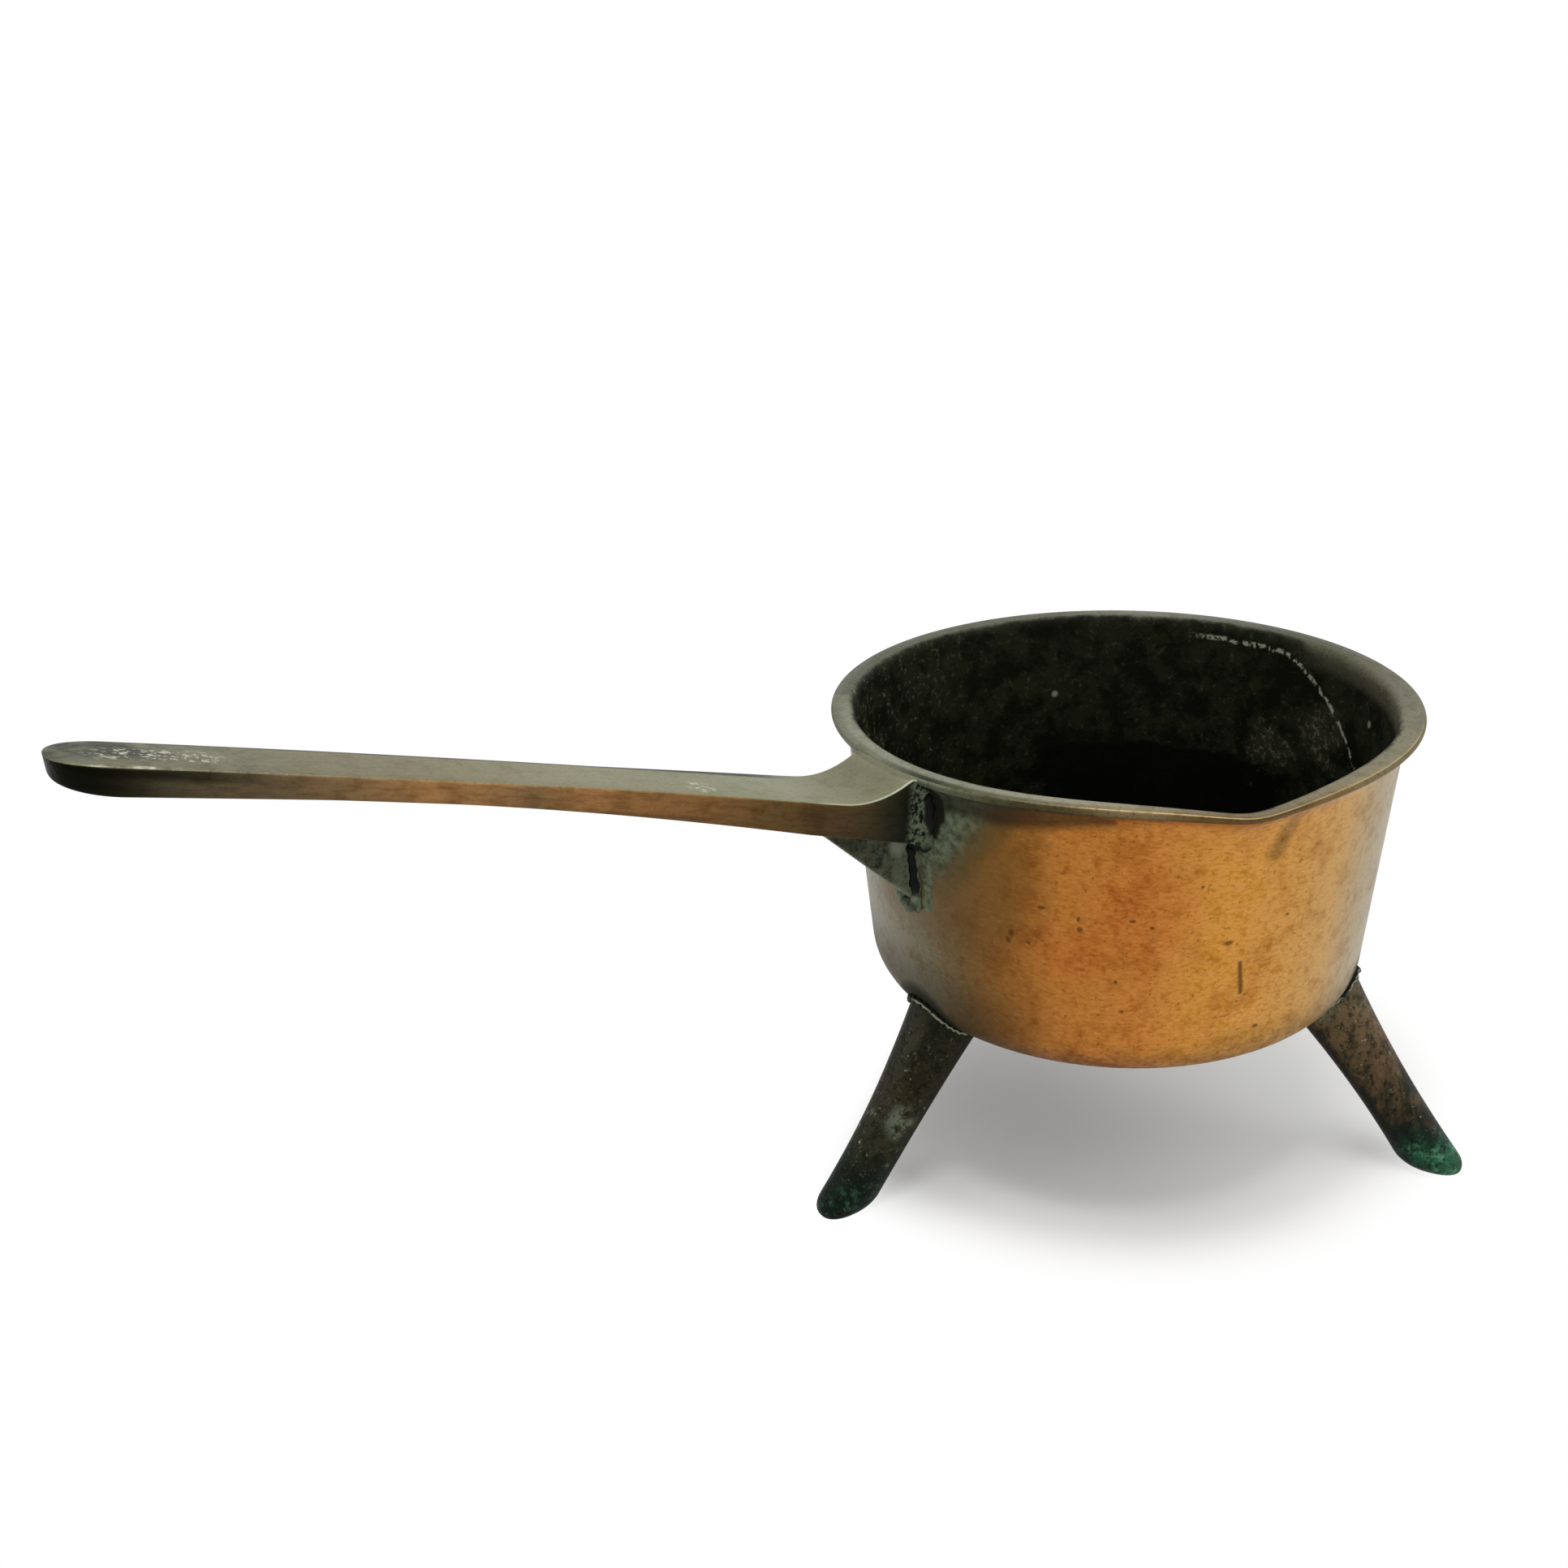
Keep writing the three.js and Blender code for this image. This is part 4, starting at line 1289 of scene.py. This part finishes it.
def stay_material():
    paint = Paint("stay_patina")
    reach = PAN_AXIS_X / MM - paint.place.parts()[0]
    crust = paint.noise(1.6, 4, 0.7)
    mottle = paint.noise(5, 4, 0.65)
    colour = paint.mix(mottle.between(0.38, 0.64), (34, 36, 22), (78, 76, 56))
    green = crust.between(0.36, 0.66) * reach.between(104, 88)
    colour = colour.mixed(green * 0.75, (98, 108, 88))
    edge = reach.between(86, 82) * crust.between(0.3, 0.5)
    colour = colour.mixed(edge * 0.8, (108, 116, 96))
    blob = paint.near(by_handle(82, -3.3, 114), 1.5, 4.5)
    colour = colour.mixed(blob, (140, 146, 128))
    return paint.done(colour, 0.6, 0.3, crust + mottle, 0.25, specular=0.15)


# Colours of the legs by height in millimetres: the one under the handle, and the ones on the right
LEFT_LEG_COLOURS = (
    (0, 4, 24, 13),
    (8, 4, 26, 14),
    (13, 12, 24, 14),
    (18, 38, 40, 27),
    (25, 48, 48, 33),
    (34, 43, 40, 24),
    (44, 34, 34, 20),
    (60, 34, 36, 22),
)
RIGHT_LEG_COLOURS = (
    (0, 34, 74, 52),
    (6, 38, 86, 62),
    (12, 16, 42, 29),
    (17, 24, 28, 19),
    (25, 50, 45, 30),
    (34, 84, 68, 45),
    (46, 98, 82, 56),
    (60, 112, 101, 74),
)
# Direction faced by the painted reflection stripe on the leg under the handle
REFLECTION_STRIPE_FACES = (-0.99, -0.1, 0.1)

# Pale crust on the legs: height and turn from the outer side, then full and outer radius in millimetres
PALE_PATCHES = (
    ("leg_under_handle", 27, 66, 2, 7),
    ("leg_spout_side", 51, -84, 1, 5),
)


def leg_spot(node, height, turn):
    """A point of a leg's surface by height in millimetres and turn in degrees from its outer side."""
    leg = LEGS[node]
    return leg_turn(leg["azimuth"]) @ leg_point(height * MM, math.radians(turn), 0, leg["toe_out"])


def leg_material():
    paint = Paint("leg_patina")
    x, y, z = paint.place.parts()
    crust = paint.noise(1.8, 4, 0.7)
    mottle = paint.noise(7, 5, 0.65)
    streaky = paint.noise(4, 5, 0.65, at=paint.vector(x, y, z * 0.4))
    fine = paint.noise(0.9, 4, 0.7)
    wavering = z + (mottle - 0.5) * 14
    left, right = [paint.ramp(wavering, stops) for stops in (LEFT_LEG_COLOURS, RIGHT_LEG_COLOURS)]
    on_right = x.between(60, 110)
    colour = left.mixed(on_right, right)
    # Painted reflection: a pale stripe on the leg under the handle, on faces turned this way
    reflection_stripe = paint.normal.along(REFLECTION_STRIPE_FACES).between(0.84, 0.98) * z.between(12, 26)
    reflection_stripe *= on_right.between(0.4, 0.2)
    colour = colour.mixed(reflection_stripe * 0.36, (104, 103, 86))
    above_foot = z.between(12, 22)
    brown = streaky.between(0.44, 0.66) * above_foot
    colour = colour.mixed(brown * 0.45, paint.mix(on_right, (54, 46, 28), (114, 89, 61)))
    black = streaky.between(0.52, 0.36) * crust.between(0.3, 0.6)
    colour = colour.mixed(black * 0.8, (12, 15, 7))
    light_specks = fine.between(0.56, 0.7) * on_right.between(0.6, 0.2)
    colour = colour.mixed(light_specks * 0.65, (102, 100, 78))
    pits = paint.noise(1.9, 5, 0.75).between(0.5, 0.62)
    colour = colour.mixed(pits * 0.75, (12, 14, 7))
    burnt = paint.near(leg_spot("leg_spout_side", 27, 18), 2, 10)
    colour = colour.mixed(burnt * 0.7, (18, 20, 12))
    pale = paint.noise(3.2, 5, 0.75)
    grey = pale.between(0.58, 0.72) * z.between(6, 16)
    grey *= z.between(54, 24)
    for node, height, turn, inner, outer in PALE_PATCHES:
        patch = paint.near(leg_spot(node, height, turn), inner, outer)
        grey = paint.larger(grey, patch * pale.between(0.4, 0.56))
    colour = colour.mixed(grey * 0.6, (118, 126, 108))
    crumbs = paint.noise(1.6, 3, 0.6).between(0.68, 0.72) * above_foot
    colour = colour.mixed(crumbs * 0.8, (150, 154, 138))
    emerald = pale.between(0.48, 0.66) * wavering.between(13, 8)
    colour = colour.mixed(emerald * 0.7, paint.mix(on_right, (52, 84, 64), (84, 146, 110)))
    # Painted shade on the sides of the legs that face in under the pan
    out_x = x - PAN_AXIS_X / MM
    normal_x, normal_y, _ = paint.normal.parts()
    facing_in = normal_x * out_x + normal_y * y
    inner_side_shade = facing_in.between(6, -22)
    colour = colour.mixed(inner_side_shade * 0.8, (10, 12, 6))
    sole = z.between(2.2, 0.4)
    colour = colour.mixed(sole * 0.6, (8, 12, 6))
    seat = z.between(50, 56)
    colour = colour.mixed(seat * 0.4, (24, 25, 13))
    height = crust + mottle + fine * 0.5
    return paint.done(colour, 0.46 + fine * 0.2, 0.5, height, 0.3, specular=0.12)


def bead_material():
    """Verdigris on the braze, with painted shade, black, where the root's bead leaves the wall on the side
    away from the handle and where it stands off the wall beside the stay.
    """
    paint = Paint("bead_verdigris")
    azimuth, depth = paint.around_pan()
    x, y, _ = paint.place.parts()
    crust = paint.noise(2.4, 3, 0.5)
    blotch = paint.noise(5, 3, 0.55)
    colour = paint.mix(crust.between(0.34, 0.66), (70, 78, 58), (120, 130, 110))
    colour = colour.mixed(blotch.between(0.5, 0.66) * 0.5, (44, 48, 32))
    from_handle = abs(azimuth - 180.0)
    # Painted shade, black, where the root's bead leaves the wall on the side away from the handle
    crevice_shade = from_handle.between(8.3, 9.2) * depth.between(20, 17)
    out_x = x - PAN_AXIS_X / MM
    from_pan_axis = paint.math("SQRT", out_x * out_x + y * y)
    wall = NECK_RADIUS / MM - depth * math.tan(WALL_LEAN)
    standing_off = from_pan_axis - wall
    # Painted shade, black, where the bead stands off the wall beside the stay
    beside_stay = standing_off.between(0.9, 1.3) * depth.between(21, 23)
    beside_stay *= depth.between(41, 38)
    beside_stay *= (from_pan_axis - NECK_RADIUS / MM).between(3, 2)
    colour = colour.mixed(paint.larger(crevice_shade, beside_stay), (8, 11, 4))
    return paint.done(colour, 0.65, 0.1, crust, 0.12, specular=0.15)


def leg_bead_material():
    """Dull as the leg, with a thin pale ridge, and dark towards the pan."""
    paint = Paint("leg_bead_patina")
    across = paint.attribute("across")
    crust = paint.noise(1.2, 3, 0.7)
    clumps = paint.noise(5, 3, 0.6)
    colour = paint.mix(crust.between(0.4, 0.6), (30, 33, 20), (60, 62, 44))
    ridge = (across + clumps * 0.4).near(0.1, 0.1, 0.45)
    ridge *= clumps.between(0.36, 0.5)
    ridge *= paint.place.parts()[1].between(4, 1)
    colour = colour.mixed(ridge * 0.9, (146, 148, 130))
    colour = colour.mixed(across.between(-0.3, -0.6), (14, 16, 8))
    return paint.done(colour, 0.6, 0.3, crust, 0.15, specular=0.12)


# Stage

# The rays that see the floor and the world as plain white; all others see them as lights
SEEN_BY = ("Is Camera Ray", "Is Glossy Ray", "Is Transmission Ray")

FLOOR_HALF_SIZE = 4.0
FLOOR_DROP = 0.05 * MM

# Shadow on the floor: its middle from the pan's axis, then its full and its outer radius in millimetres
SHADOW_MIDDLE = Vector((11, 15, 0)) * MM
SHADOW_FULL = 88
SHADOW_OUTER = 116

WORLD_LIGHT = 0.65

# Disk lamps: place from a floor point under the pan's axis and the height aimed at, in metres, size, watts
LAMPS = {
    "key": ((-0.08, -0.1, 1.0), 0.08, 0.45, 4.6),
    "fill": ((0.6, -0.7, 0.45), 0.1, 0.6, 1.5),
}


def floor_material():
    """White where it is looked at and seen in the metal, paper-white for the light, with its shadow."""
    paint = Paint("studio_paper")
    path = paint.node("ShaderNodeLightPath").outputs
    seen = paint.larger(*[Value(paint, path[name]) for name in SEEN_BY])
    x, y, _ = paint.place.parts()
    flat_place = paint.vector(x, y, 0.0)
    shadow = paint.near(PAN_AXIS + SHADOW_MIDDLE, SHADOW_FULL, SHADOW_OUTER, at=flat_place)
    # Painted light: white is mixed in behind and left of the leg under the handle, and by up to a quarter
    # towards the right, thinning the shadow there
    behind_left = (x - PAN_AXIS_X / MM) * -0.6 + y * 0.8
    shadow *= behind_left.between(76, 58)
    shadow *= 1.0 - x.between(50, 150) * 0.26
    paper = paint.node("ShaderNodeBsdfDiffuse")
    paint.put(paper.inputs["Color"], paint.mix(seen, (228, 228, 224), (255, 255, 253.3)))
    white = paint.node("ShaderNodeEmission")
    white.inputs["Color"].default_value = (1, 1, 1, 1)
    white.inputs["Strength"].default_value = 1
    mixed = paint.node("ShaderNodeMixShader")
    paint.put(mixed.inputs[0], (1.0 - shadow) * seen)
    paint.tree.links.new(paper.outputs[0], mixed.inputs[1])
    paint.tree.links.new(white.outputs[0], mixed.inputs[2])
    out = paint.node("ShaderNodeOutputMaterial")
    paint.tree.links.new(mixed.outputs[0], out.inputs["Surface"])
    return paint.material


def make_floor():
    half = FLOOR_HALF_SIZE
    corners = [(-half, -half, 0), (half, -half, 0), (half, half, 0), (-half, half, 0)]
    floor = add_mesh("studio_floor", corners, [(0, 1, 2, 3)])
    floor.location.z = -FLOOR_DROP
    floor.data.materials.append(floor_material())


def make_world():
    world = bpy.data.worlds.new("studio")
    bpy.context.scene.world = world
    world.use_nodes = True
    tree = world.node_tree
    tree.nodes.clear()
    path = tree.nodes.new("ShaderNodeLightPath").outputs
    seen = path[SEEN_BY[0]]
    for name in SEEN_BY[1:]:
        either = tree.nodes.new("ShaderNodeMath")
        either.operation = "MAXIMUM"
        tree.links.new(seen, either.inputs[0])
        tree.links.new(path[name], either.inputs[1])
        seen = either.outputs[0]
    mixed = tree.nodes.new("ShaderNodeMixShader")
    tree.links.new(seen, mixed.inputs[0])
    for socket, strength in ((1, WORLD_LIGHT), (2, 1)):
        light = tree.nodes.new("ShaderNodeBackground")
        light.inputs["Color"].default_value = (1, 1, 1, 1)
        light.inputs["Strength"].default_value = strength
        tree.links.new(light.outputs[0], mixed.inputs[socket])
    out = tree.nodes.new("ShaderNodeOutputWorld")
    tree.links.new(mixed.outputs[0], out.inputs["Surface"])


def make_lamps():
    for name, (place, aim_height, size, power) in LAMPS.items():
        lamp = bpy.data.lights.new(name, "AREA")
        lamp.shape = "DISK"
        lamp.size = size
        lamp.energy = power
        holder = add_object(name, lamp)
        holder.location = PAN_AXIS + Vector(place)
        aim = Vector((0, 0, aim_height)) - Vector(place)
        holder.rotation_euler = aim.to_track_quat("-Z", "Y").to_euler()


# Camera: where the photograph was taken from, measured from the middle of the pan's rim
CAMERA_FROM_RIM = Vector((-302.2, -312.5, 159.34)) * MM
CAMERA_YAW = math.radians(-30.87)
CAMERA_PITCH = math.radians(-23.25)
CAMERA_ROLL = math.radians(-3.243)
CAMERA_LENS = 35.404
CAMERA_SENSOR = 36


def make_camera():
    data = bpy.data.cameras.new("camera")
    data.lens = CAMERA_LENS
    data.sensor_width = CAMERA_SENSOR
    data.sensor_fit = "HORIZONTAL"
    data.clip_start = 0.01
    camera = add_object("camera", data)
    place = Vector((PAN_AXIS_X, 0, RIM_HEIGHT)) + CAMERA_FROM_RIM
    turn = (
        Matrix.Rotation(CAMERA_YAW, 4, "Z")
        @ Matrix.Rotation(math.pi / 2 + CAMERA_PITCH, 4, "X")
        @ Matrix.Rotation(CAMERA_ROLL, 4, "Z")
    )
    camera.matrix_world = Matrix.Translation(place) @ turn
    bpy.context.scene.camera = camera


def build():
    make_camera()
    make_world()
    make_floor()
    make_lamps()

    outside = pan_outside_material()
    dress(make_pan(), "pan", "bell_metal", outside, pan_lip_material())
    gate = make_gate_scar()
    gate.data.materials.append(outside)
    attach(gate, "root")
    dress(make_handle(), "handle", "handle_bronze", handle_material())
    dress(make_stay(), "handle_stay", "handle_bronze", stay_material())
    bead = bead_material()
    dress(make_root_bead(), "root_braze", "braze", bead)
    dress(make_stay_bead(), "stay_braze", "braze", bead)
    leg_patina = leg_material()
    leg_bead = leg_bead_material()
    for node, leg in LEGS.items():
        dress(make_leg(f"{node}_cast", leg["azimuth"], leg["toe_out"]), node, "leg_bronze", leg_patina)
        dress(make_leg_bead(f"{node}_bead", leg["azimuth"]), f"{node}_braze", "braze", leg_bead)


build()
scene = bpy.context.scene
scene.view_settings.view_transform = "Standard"
